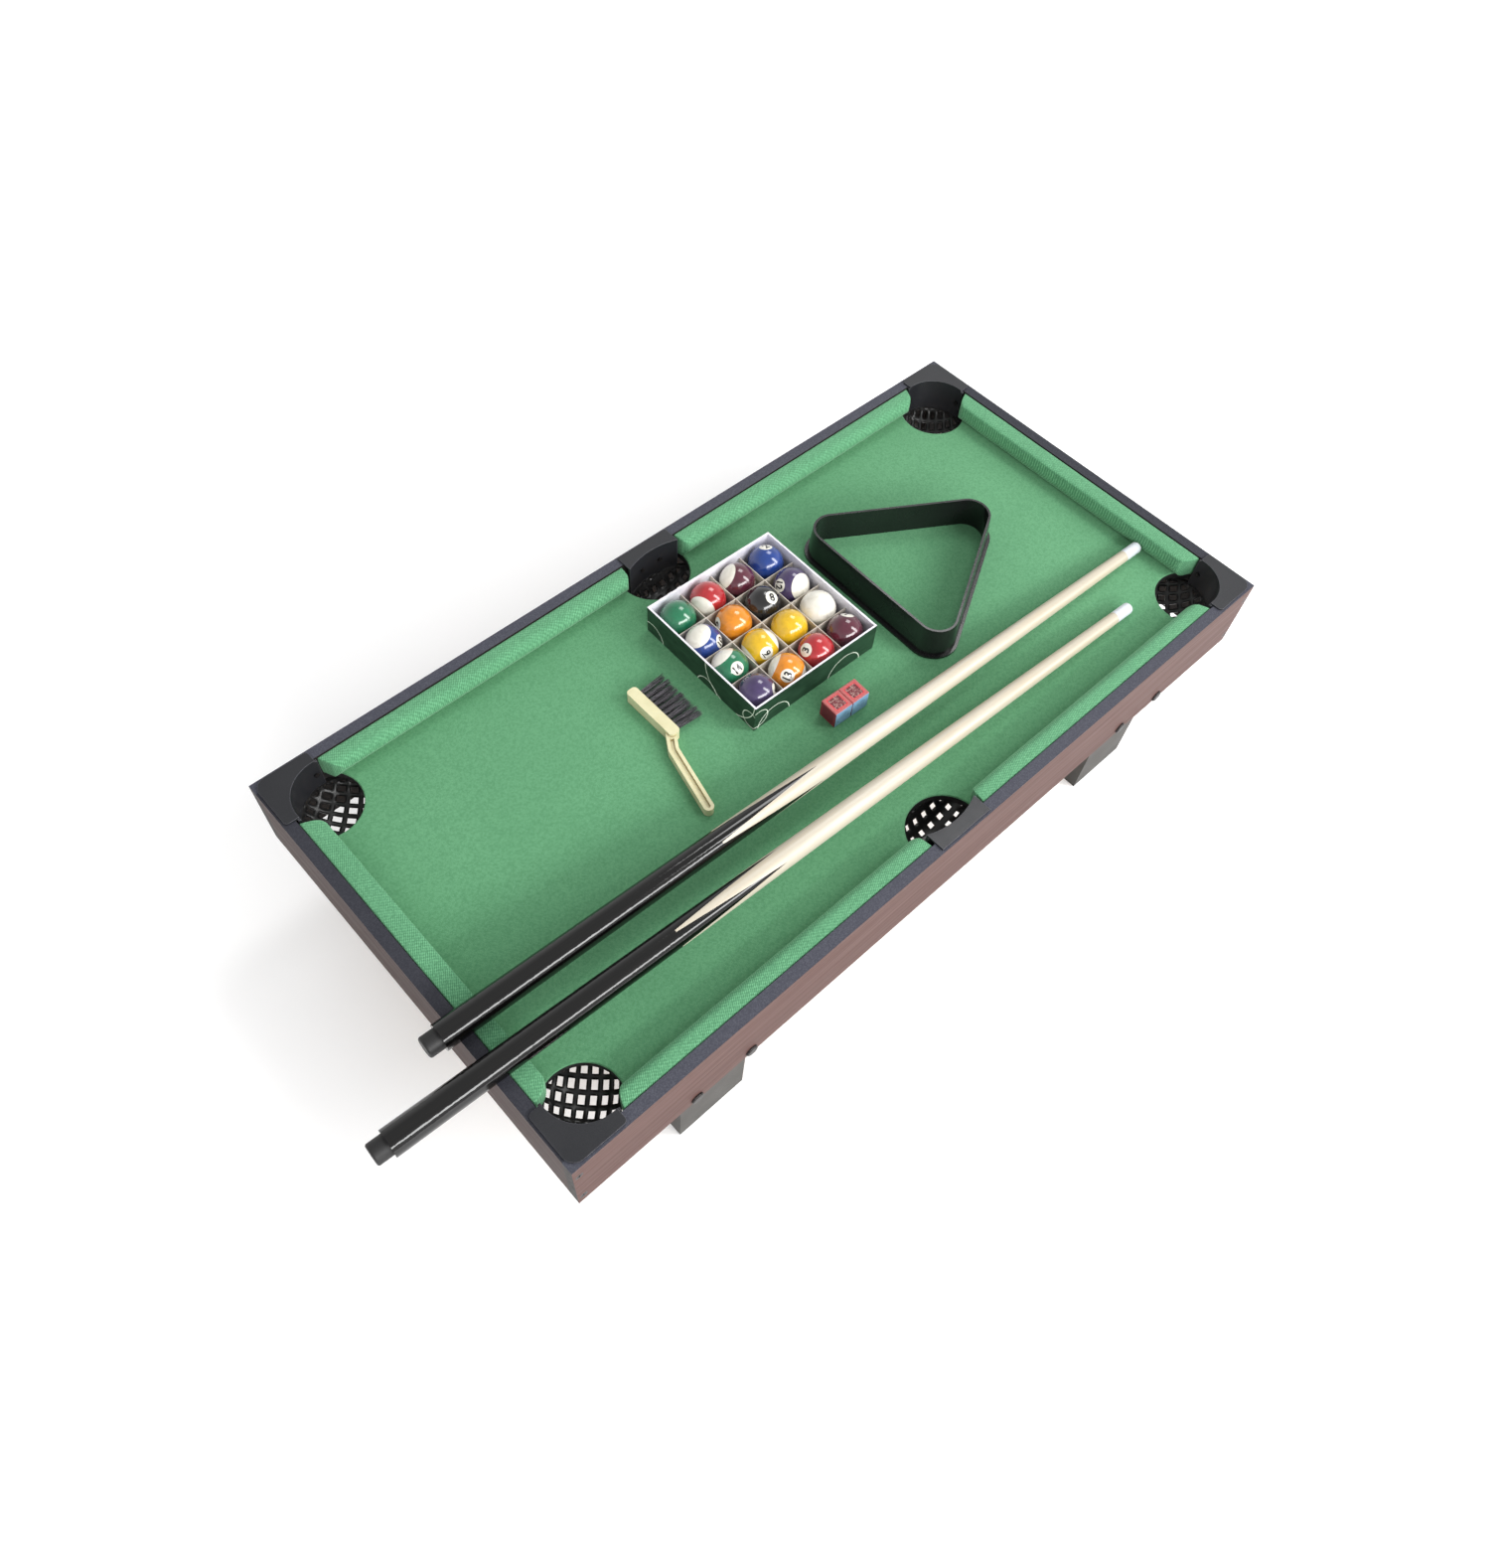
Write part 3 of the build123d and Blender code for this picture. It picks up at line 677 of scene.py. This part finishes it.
def lip(name, middle, half, width, height):
    """The basket's plain rim: a flat-sided ring with rounded edges."""
    section = (
        (0, -height),
        (width * 0.8, -height),
        (width, -height * 0.7),
        (width, 0),
        (-BASKET_WALL, 0),
        (-BASKET_WALL, -5),
        (0, -5),
    )
    count = 72
    points, faces = [], []
    for k in range(count):
        angle = 2 * math.pi * k / count
        reach = oval_reach(half, angle)
        for out, z in section:
            r = (reach + out) * MM
            x, y = r * math.cos(angle), r * math.sin(angle)
            points.append((middle[0] + x, middle[1] + y, middle[2] + z * MM))
    n = len(section)
    for k in range(count):
        a, b = k * n, (k + 1) % count * n
        for j in range(n):
            faces.append((a + j, a + (j + 1) % n, b + (j + 1) % n, b + j))
    made = piece(name, points, faces, basket_black, "table", smooth=False)
    outward(made)
    return made


BASKET_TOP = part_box("corner_baskets")[1].z
CORNER_BASKET, SIDE_BASKET = (40.5, 40.5), (44, 24)
CORNER_INSET, SIDE_BASKET_INSET = 55 * MM, 39 * MM
# pitch along and across, hole along and across, in mm, and how far the holes are shifted in pitches
CORNER_GRID = ((13.3, 10.2), (8.5, 5.9), (0, 0.5))
SIDE_GRID = ((12.8, 12), (5.6, 5.2), (0, 0.5))
LIP = 2
corner_parts, side_parts = [], []
for sx in (-1, 1):
    for sy in (-1, 1):
        spot = (sx * (HALF_L - CORNER_INSET), sy * (HALF_W - CORNER_INSET), BASKET_TOP)
        label = f"{'back' if sy > 0 else 'front'}_{'right' if sx > 0 else 'left'}"
        diagonal = math.atan2(-sy, -sx)
        corner_parts.append(basket(f"basket_{label}", spot, diagonal, CORNER_BASKET, *CORNER_GRID))
        corner_parts.append(lip(f"basket_lip_{label}", spot, CORNER_BASKET, LIP, LIP))
for sy in (-1, 1):
    spot = (0, sy * (HALF_W - SIDE_BASKET_INSET), BASKET_TOP)
    label = "back" if sy > 0 else "front"
    side_parts.append(basket(f"basket_side_{label}", spot, 0, SIDE_BASKET, *SIDE_GRID))
    side_parts.append(lip(f"basket_lip_side_{label}", spot, SIDE_BASKET, LIP, LIP))
for part in corner_parts:
    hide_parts("corner_baskets")
for part in side_parts:
    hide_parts("side_baskets")

# ---------------------------------------------------------------- balls
BALL_R = 19 * MM
CIRCLE_SIN = 6.9 / 19
STRIPE_HALF = 0.68
BALL_COLOURS = {
    1: rgb(222, 178, 26),
    2: rgb(24, 58, 130),
    3: rgb(170, 36, 42),
    4: rgb(66, 52, 92),
    5: rgb(218, 134, 28),
    6: rgb(28, 112, 76),
    7: rgb(84, 32, 48),
    8: rgb(26, 25, 26),
}
IVORY = rgb(226, 224, 214)
# where the number looks, as azimuth and elevation, and how it is turned about that line, in degrees
BALL_FACES = {
    1: (45, -30, 0),
    2: (55, 65, 150),
    3: (170, 40, -115),
    4: (-45, 20, 50),
    5: (155, 15, -135),
    6: (60, -20, 0),
    7: (40, 55, -165),
    8: (-70, 60, 40),
    9: (-110, 30, 65),
    10: (-55, 25, -10),
    11: (131, -72, 71),
    12: (170, 30, 55),
    13: (-135, 40, -70),
    14: (-100, 45, -20),
    15: (50, 0, 55),
}


def ball_frame(azimuth, elevation, roll):
    """Columns: the way the number looks, its right-hand side as read, and its top."""
    az, el, turn = map(math.radians, (azimuth, elevation, roll))
    face = Vector((math.cos(el) * math.cos(az), math.cos(el) * math.sin(az), math.sin(el)))
    north = Vector((-math.sin(el) * math.cos(az), -math.sin(el) * math.sin(az), math.cos(el)))
    east = Vector((-math.sin(az), math.cos(az), 0))
    top = north * math.cos(turn) + east * math.sin(turn)
    side = top.cross(face)
    return Matrix((face, side, top)).transposed()


def ball_material(number, centre, turned):
    """Glossy resin: solid, or white with a band, with the number's white circle."""
    made, tree, shader, place = material(f"ball_{number:02d}_resin", roughness=0.16)
    shader.inputs["Coat Weight"].default_value = 0.6
    shader.inputs["Coat Roughness"].default_value = 0.04
    local = stretched(tree, place, (BALL_R,) * 3, turned.to_euler(), centre, "TEXTURE")
    swirl = noise(tree, local, 2.2, 5, 0.55, 0.8)
    stains = noise(tree, local, 9, 3, 0.6)
    white = mix(tree, remap(tree, swirl, 0.35, 0.7), IVORY, rgb(208, 204, 190))
    if number:
        r, g, b, _ = BALL_COLOURS[number if number < 9 else number - 8]
        deep = (r * 0.72, g * 0.72, b * 0.72, 1)
        tint = mix(tree, remap(tree, swirl, 0.3, 0.7), (r, g, b, 1), deep)
        if number > 8:
            height = maths(tree, "ABSOLUTE", axis_of(tree, local, "Z"))
            outside = remap(tree, height, STRIPE_HALF - 0.008, STRIPE_HALF + 0.008)
            tint = mix(tree, outside, tint, white)
        circle_edge = math.sqrt(1 - CIRCLE_SIN**2)
        circle = remap(tree, axis_of(tree, local, "X"), circle_edge - 0.003, circle_edge + 0.003)
        white = mix(tree, circle, tint, white)
    colour(tree, shader, mix(tree, remap(tree, stains, 0.66, 0.8, 0, 0.12), white, rgb(90, 84, 76)))
    roughness(tree, shader, remap(tree, stains, 0.3, 0.7, 0.12, 0.22))
    bump(tree, shader, swirl, 0.00003, 0.3)
    return made


ink, ink_tree, ink_shader, ink_place = material("number_ink", roughness=0.25)
ink_wear = noise(ink_tree, ink_place, 1800, 2)
ink_tone = mix(ink_tree, remap(ink_tree, ink_wear, 0.55, 0.75), rgb(18, 18, 20), rgb(48, 46, 48))
colour(ink_tree, ink_shader, ink_tone)
ink_shader.inputs["Coat Weight"].default_value = 0.6

DIGIT_HEIGHT, DIGIT_WIDTH = 9 * MM, 10 * MM
DIGIT_SQUEEZE = 0.86
INK_STAND = 0.04 * MM
UNDERLINE = ((-0.3, -0.16), (0.3, -0.16), (0.3, -0.06), (-0.3, -0.06))


def ball_number(number, body, centre, turned):
    """The number as a thin mesh laid on the ball; 6 and 9 are underlined."""
    text = bpy.data.curves.new("digits", "FONT")
    text.body = str(number)
    text.align_x = "CENTER"
    text.offset = 0.036
    text.resolution_u = 4
    holder = bpy.data.objects.new("digits", text)
    flat = bpy.data.meshes.new_from_object(holder)
    bpy.data.objects.remove(holder)
    bpy.data.curves.remove(text)
    work = bmesh.new()
    work.from_mesh(flat)
    bpy.data.meshes.remove(flat)
    if number in (6, 9):
        work.faces.new([work.verts.new((x, y, 0)) for x, y in UNDERLINE])
    bmesh.ops.triangulate(work, faces=work.faces)
    for _ in range(2):
        long_edges = [e for e in work.edges if e.calc_length() > 0.09]
        bmesh.ops.subdivide_edges(work, edges=long_edges, cuts=1)
        bmesh.ops.triangulate(work, faces=work.faces)
    xs = [v.co.x for v in work.verts]
    ys = [v.co.y for v in work.verts]
    mid_x, mid_y = (min(xs) + max(xs)) / 2, (min(ys) + max(ys)) / 2
    scale = min(DIGIT_HEIGHT / (max(ys) - min(ys)), DIGIT_WIDTH / (max(xs) - min(xs)) / DIGIT_SQUEEZE)
    squeeze = DIGIT_SQUEEZE if number > 9 else 1.0
    for vert in work.verts:
        x = (vert.co.x - mid_x) * scale * squeeze
        y = (vert.co.y - mid_y) * scale
        spot = turned @ Vector((BALL_R, x, y))
        vert.co = Vector(centre) + spot.normalized() * (BALL_R + INK_STAND)
    mesh = bpy.data.meshes.new(f"number_{number:02d}")
    work.to_mesh(mesh)
    work.free()
    mesh.materials.append(ink)
    mesh.polygons.foreach_set("use_smooth", [True] * len(mesh.polygons))
    made = bpy.data.objects.new(mesh.name, mesh)
    bpy.context.scene.collection.objects.link(made)
    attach(made, body)


for number in range(16):
    node = f"ball_{number:02d}" if number else "cue_ball"
    low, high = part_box(node)
    centre = tuple((low + high) / 2)
    turned = ball_frame(*BALL_FACES.get(number, (0, 90, 0)))
    dress(ball_material(number, centre, turned), node)
    if number:
        ball_number(number, node, centre, turned)

# ---------------------------------------------------------------- cues
CUE_LENGTH = 914 * MM
FERRULE_AT = 889 * MM
# where the splice starts and ends, in mm from the butt, and how far its light point
# on top is turned from straight up towards -Y, in degrees
SPLICES = {"cue_1": (290, 427, 40), "cue_2": (278, 415, 5)}
# the light points are cut off square this far past their start
SPLICE_BLUNT = 15


def cue_material(name):
    """Maple shaft spliced in four points into black lacquer, along the cue's own line."""
    low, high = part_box(name + "_bumper")
    start = (low + high) / 2
    low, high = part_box(name + "_tip")
    ahead = ((low + high) / 2 - start).normalized()
    butt_end = (low + high) / 2 - ahead * (CUE_LENGTH - 11 * MM)
    side = Vector((0, 0, 1)).cross(ahead).normalized()
    top = ahead.cross(side)
    frame_of = Matrix((ahead, side, top)).transposed()
    splice_low, splice_high, splice_turn = SPLICES[name]
    made, tree, shader, place = material(name + "_wood", roughness=0.3)
    local = stretched(tree, place, (1, 1, 1), frame_of.to_euler(), tuple(butt_end), "TEXTURE")
    parts = add(tree, "ShaderNodeSeparateXYZ", {"Vector": local}).outputs
    angle = maths(tree, "ARCTAN2", parts["Y"], parts["Z"])
    angle = maths(tree, "ADD", angle, math.radians(splice_turn))
    wave = maths(tree, "PINGPONG", maths(tree, "ADD", angle, 8 * math.pi), math.pi / 4)
    slope = (splice_high - splice_low) * MM / (math.pi / 4)
    edge = maths(tree, "MULTIPLY_ADD", wave, slope, splice_low * MM)
    edge = maths(tree, "MAXIMUM", edge, (splice_low + SPLICE_BLUNT) * MM)
    past = maths(tree, "SUBTRACT", parts["X"], edge)
    light = remap(tree, past, -0.0004, 0.0004)
    grain = noise(tree, stretched(tree, local, (9, 420, 420)), 1, 5, 0.6)
    rays = noise(tree, stretched(tree, local, (60, 1500, 1500)), 1, 2, 0.5)
    warm = noise(tree, stretched(tree, local, (3, 40, 40)), 1, 3, 0.5)
    maple = mix(tree, remap(tree, warm, 0.3, 0.7), rgb(176, 167, 148), rgb(188, 181, 166))
    maple = mix(tree, remap(tree, grain, 0.45, 0.75, 0, 0.4), maple, rgb(184, 162, 126))
    maple = mix(tree, remap(tree, rays, 0.6, 0.8, 0, 0.25), maple, rgb(170, 145, 108))
    lacquer = mix(tree, remap(tree, grain, 0.4, 0.8), rgb(3, 3, 3), rgb(12, 10, 9))
    wood = mix(tree, light, lacquer, maple)
    ferrule = remap(tree, parts["X"], FERRULE_AT - 0.0003, FERRULE_AT + 0.0003)
    colour(tree, shader, mix(tree, ferrule, wood, rgb(198, 202, 208)))
    gloss = remap(tree, grain, 0.3, 0.7, 0.07, 0.12)
    satin = remap(tree, grain, 0.3, 0.7, 0.3, 0.42)
    duller = maths(tree, "MULTIPLY", light, maths(tree, "SUBTRACT", satin, gloss))
    roughness(tree, shader, maths(tree, "ADD", gloss, duller))
    shader.inputs["Specular IOR Level"].default_value = 0.55
    bump(tree, shader, grain, 0.00002, 0.25)
    return made


for cue in ("cue_1", "cue_2"):
    dress(cue_material(cue), cue + "_butt", cue + "_shaft", cue + "_tip")

# ---------------------------------------------------------------- brush
cream, tree, shader, place = material("cream_plastic", roughness=0.38)
shader.inputs["Subsurface Weight"].default_value = 0.1
shader.inputs["Subsurface Radius"].default_value = (0.004, 0.003, 0.002)
cream_cloud = noise(tree, place, 60, 4)
cream_fine = noise(tree, place, 900, 3)
cream_tone = mix(tree, remap(tree, cream_cloud, 0.3, 0.7), rgb(196, 190, 150), rgb(208, 203, 166))
cream_tone = mix(tree, remap(tree, cream_fine, 0.6, 0.8, 0, 0.25), cream_tone, rgb(186, 176, 134))
# Painted shade: creases such as the handle's groove are darkened towards tan by ambient occlusion.
crevice_painted_shade = add(tree, "ShaderNodeAmbientOcclusion", {"Distance": 2.4 * MM}, samples=8).outputs["AO"]
colour(tree, shader, mix(tree, remap(tree, crevice_painted_shade, 0.85, 0.45, 0, 0.8), cream_tone, rgb(150, 126, 78)))
roughness(tree, shader, remap(tree, cream_fine, 0.3, 0.7, 0.3, 0.48))
bump(tree, shader, cream_fine, 0.00006, 0.5)
dress(cream, "brush_body")

hair, tree, shader, place = material("bristle_hair", roughness=0.4)
hair_tone_and_highlight = noise(tree, stretched(tree, place, (60, 2600, 2600)), 1, 2)
# Hairs range from near black to light grey: mixed hair tones, with the light streaks a painted highlight.
colour(tree, shader, mix(tree, remap(tree, hair_tone_and_highlight, 0.4, 0.75), rgb(9, 9, 10), rgb(118, 113, 122)))
shader.inputs["Sheen Weight"].default_value = 0.1
bump(tree, shader, hair_tone_and_highlight, 0.00005, 0.4)

TUFTS = 9
TUFT_ROWS = 2
HAIRS = 50
HAIR_R = 0.16 * MM
HAIR_SIDES = 4


def bristles():
    """Tufts of tapering hairs that fan out from the brush's head."""
    low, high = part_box("brush_bristles")
    rng = random.Random(11)
    points, faces = [], []
    for row in range(TUFT_ROWS):
        for tuft in range(TUFTS):
            share = (tuft + 0.5) / TUFTS
            root_y = low.y + 2.5 * MM + share * (high.y - low.y - 5 * MM)
            root_z = low.z + (1.8 + 3.4 * row) * MM
            lean = (share - 0.5) * 0.10 + rng.uniform(-0.035, 0.035)
            reach = (high.x - low.x) * rng.uniform(0.93, 1.0)
            for _ in range(HAIRS):
                a, spread = rng.uniform(0, 6.283), math.sqrt(rng.random())
                dy, dz = math.cos(a) * spread, math.sin(a) * spread
                length = min(high.x - low.x, reach * rng.uniform(0.9, 1.0))
                first = Vector((low.x - 0.5 * MM, root_y + dy * 2.0 * MM, root_z + dz * 1.3 * MM))
                fan = Vector((1, lean + dy * 0.03 + rng.uniform(-0.014, 0.014), dz * 0.03 - 0.01))
                droop = -rng.uniform(0.2, 0.8) * MM
                rings = []
                for k in range(5):
                    t = k / 4
                    spot = first + fan * (length * t)
                    spot.z += droop * t * t
                    spot.z = min(max(spot.z, low.z + 0.2 * MM), high.z)
                    spot.y = min(max(spot.y, low.y), high.y)
                    r = HAIR_R * (1 - 0.55 * t)
                    ring = []
                    for j in range(HAIR_SIDES):
                        b = 6.283 * j / HAIR_SIDES
                        ring.append(len(points))
                        points.append((spot.x, spot.y + r * math.cos(b), spot.z + r * math.sin(b)))
                    rings.append(ring)
                for a_ring, b_ring in zip(rings, rings[1:]):
                    faces += strip(a_ring + a_ring[:1], b_ring + b_ring[:1])
                faces.append(tuple(rings[-1]))
    made = piece("bristle_tufts", points, faces, hair, "brush")
    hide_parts("brush_bristles")


bristles()

# ---------------------------------------------------------------- tray and divider
TRAY_TURN = math.radians(-1.2)
tray_low, tray_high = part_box("ball_tray")
tray_middle = (tray_low + tray_high) / 2
TRAY_HALF = 82 * MM
# arcs printed on the outside of the walls across X, then across Y: along the wall, height, radius, in mm
TRAY_ARCS_X = ((-74, -2, 17), (12, -4, 15), (44, 34, 36), (76, 12, 11))
TRAY_ARCS_Y = ((-56, -2, 21), (-77, 15, 12), (40, -3, 22))


def tray_material():
    """Printed card box: white inside, dark green outside with thin pale arcs."""
    made, tree, shader, place = material("tray_print", roughness=0.35)
    local = stretched(
        tree, place, (1, 1, 1), (0, 0, TRAY_TURN), (tray_middle.x, tray_middle.y, tray_low.z), "TEXTURE"
    )
    parts = add(tree, "ShaderNodeSeparateXYZ", {"Vector": local}).outputs
    far_x, far_y = maths(tree, "ABSOLUTE", parts["X"]), maths(tree, "ABSOLUTE", parts["Y"])
    outside = maths(tree, "GREATER_THAN", maths(tree, "MAXIMUM", far_x, far_y), TRAY_HALF - 0.5 * MM)
    side_wall = maths(tree, "SUBTRACT", 1, facing_up(tree))
    below = maths(tree, "LESS_THAN", parts["Z"], 0.3 * MM)
    printed = maths(tree, "MAXIMUM", maths(tree, "MULTIPLY", outside, side_wall), below)
    on_x = maths(tree, "GREATER_THAN", far_x, far_y)
    back_y = maths(tree, "MULTIPLY", parts["Y"], -1)
    along = add(
        tree, "ShaderNodeMix", {0: on_x, 2: parts["X"], 3: back_y}, data_type="FLOAT"
    ).outputs[0]
    lines = None
    for x, z, r, wall in [(*arc, "x") for arc in TRAY_ARCS_X] + [(*arc, "y") for arc in TRAY_ARCS_Y]:
        dx = maths(tree, "SUBTRACT", along, x * MM)
        dz = maths(tree, "SUBTRACT", parts["Z"], z * MM)
        square = maths(tree, "ADD", maths(tree, "MULTIPLY", dx, dx), maths(tree, "MULTIPLY", dz, dz))
        away = maths(tree, "SQRT", square)
        off = maths(tree, "ABSOLUTE", maths(tree, "SUBTRACT", away, r * MM))
        line = remap(tree, off, 0.3 * MM, 0.55 * MM, 1, 0)
        here = on_x if wall == "x" else maths(tree, "SUBTRACT", 1, on_x)
        line = maths(tree, "MULTIPLY", line, here)
        lines = line if lines is None else maths(tree, "MAXIMUM", lines, line)
    mottle = noise(tree, stretched(tree, local, (60, 60, 200)), 1, 5, 0.65)
    green = mix(tree, remap(tree, mottle, 0.35, 0.7), rgb(13, 31, 21), rgb(36, 60, 44))
    green = mix(tree, lines, green, rgb(228, 234, 220))
    dust = noise(tree, place, 120, 4)
    white = mix(tree, remap(tree, dust, 0.35, 0.7), rgb(226, 224, 232), rgb(204, 202, 210))
    colour(tree, shader, mix(tree, printed, white, green))
    bump(tree, shader, noise(tree, place, 260, 4), 0.0001, 0.35)
    return made


dress(tray_material(), "ball_tray")

grey_card, tree, shader, place = material("divider_card", roughness=0.8)
card_fibre = noise(tree, place, 520, 5, 0.7)
card_tone = mix(tree, remap(tree, card_fibre, 0.35, 0.7), rgb(212, 204, 192), rgb(190, 182, 170))
colour(tree, shader, card_tone)
bump(tree, shader, card_fibre, 0.0002, 0.4)
dress(grey_card, "tray_divider")


# ---------------------------------------------------------------- chalk
def chalk_material(node):
    """A chalk cube: blue chalk bared towards -Y, printed paper round the other faces."""
    low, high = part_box(node)
    middle = (low + high) / 2
    made, tree, shader, place = material(node + "_print", roughness=0.75)
    turned = (0, 0, math.radians(-2.5))
    local = stretched(tree, place, (11 * MM,) * 3, turned, tuple(middle), "TEXTURE")
    parts = add(tree, "ShaderNodeSeparateXYZ", {"Vector": local}).outputs
    normal = add(tree, "ShaderNodeNewGeometry").outputs["Normal"]
    bared = maths(tree, "LESS_THAN", axis_of(tree, normal, "Y"), -0.72)
    x, z = maths(tree, "ABSOLUTE", parts["X"]), maths(tree, "ABSOLUTE", parts["Z"])
    y = maths(tree, "ABSOLUTE", parts["Y"])
    top = maths(tree, "GREATER_THAN", z, 0.9)
    across = add(tree, "ShaderNodeMix", {0: top, 2: z, 3: x}, data_type="FLOAT").outputs[0]
    square = maths(tree, "LESS_THAN", maths(tree, "MAXIMUM", across, y), 0.62)
    frame_line = maths(tree, "LESS_THAN", maths(tree, "MAXIMUM", across, y), 0.72)
    blotch = noise(tree, stretched(tree, local, (4, 4, 4)), 1, 3, 0.6, 1.5)
    wear = noise(tree, local, 7, 5, 0.7)
    powder = noise(tree, place, 900, 4, 0.7)
    red = mix(tree, remap(tree, wear, 0.35, 0.7), rgb(158, 74, 76), rgb(178, 106, 102))
    mark = mix(tree, remap(tree, blotch, 0.5, 0.56), rgb(96, 32, 40), rgb(150, 118, 112))
    sides = mix(tree, top, rgb(124, 40, 50), red)
    line = mix(tree, top, rgb(100, 30, 40), rgb(196, 60, 66))
    sides = mix(tree, frame_line, sides, line)
    paper = mix(tree, maths(tree, "MULTIPLY", square, top), sides, mark)
    blue = mix(tree, remap(tree, powder, 0.3, 0.7), rgb(88, 126, 158), rgb(122, 156, 182))
    blue = mix(tree, remap(tree, wear, 0.55, 0.75, 0, 0.5), blue, rgb(70, 108, 150))
    colour(tree, shader, mix(tree, bared, paper, blue))
    bump(tree, shader, maths(tree, "ADD", powder, wear), 0.00015, 0.5)
    return made


for node in ("chalk_1", "chalk_2"):
    dress(chalk_material(node), node)

# ---------------------------------------------------------------- light and floor
floor_mesh = bpy.data.meshes.new("floor")
FLOOR = 14
floor_mesh.from_pydata(
    [(-FLOOR, -FLOOR, 0), (FLOOR, -FLOOR, 0), (FLOOR, FLOOR, 0), (-FLOOR, FLOOR, 0)],
    [],
    [(0, 1, 2, 3)],
)
floor = bpy.data.objects.new("floor", floor_mesh)
floor.location.z = -0.0002
bpy.context.scene.collection.objects.link(floor)
floor_white, tree, shader, place = material("floor_white", roughness=0.9)
colour(tree, shader, mix(tree, noise(tree, place, 3, 2), rgb(250, 250, 250), rgb(252, 252, 252)))
shader.inputs["Emission Color"].default_value = rgb(255, 255, 255)
distance = add(tree, "ShaderNodeVectorMath", {0: place}, operation="LENGTH").outputs["Value"]
FLOOR_NEAR, FLOOR_FAR = 1.2, 5
GLOW_NEAR, GLOW_FAR = 0.08, 0.45
floor_glow = remap(tree, distance, FLOOR_NEAR, FLOOR_FAR, GLOW_NEAR, GLOW_FAR)
tree.links.new(floor_glow, shader.inputs["Emission Strength"])
floor_mesh.materials.append(floor_white)

# how bright the room is low down and overhead
ROOM_LOW, ROOM_HIGH = 1.0, 0.62
world = bpy.data.worlds.new("studio")
bpy.context.scene.world = world
world.use_nodes = True
backdrop = world.node_tree.nodes["Background"]
backdrop.inputs["Strength"].default_value = 1
sky = axis_of(world.node_tree, add(world.node_tree, "ShaderNodeTexCoord").outputs["Generated"], "Z")
height = remap(world.node_tree, sky, 0.3, 0.8)
glow = mix(world.node_tree, height, (*[ROOM_LOW] * 3, 1), (*[ROOM_HIGH] * 3, 1))
world.node_tree.links.new(glow, backdrop.inputs["Color"])


def area_light(name, place, aim, size, power):
    data = bpy.data.lights.new(name, "AREA")
    data.shape = "RECTANGLE"
    data.size, data.size_y = size
    data.energy = power
    light = bpy.data.objects.new(name, data)
    light.location = place
    light.rotation_mode = "QUATERNION"
    light.rotation_quaternion = (Vector(aim) - Vector(place)).to_track_quat("-Z", "Y")
    bpy.context.scene.collection.objects.link(light)


TARGET = (0, 0, 0.18)
area_light("tall_window", (1.7, -2.0, 2.0), TARGET, (0.7, 2.4), 60)
area_light("low_window", (-1.55, -2.4, 1.15), TARGET, (0.5, 0.35), 4)
area_light("long_window", (-0.2, -2.5, 1.5), TARGET, (3.2, 0.6), 74)
area_light("right_fill", (1.5, 0.65, 2.6), TARGET, (1, 1), 20)
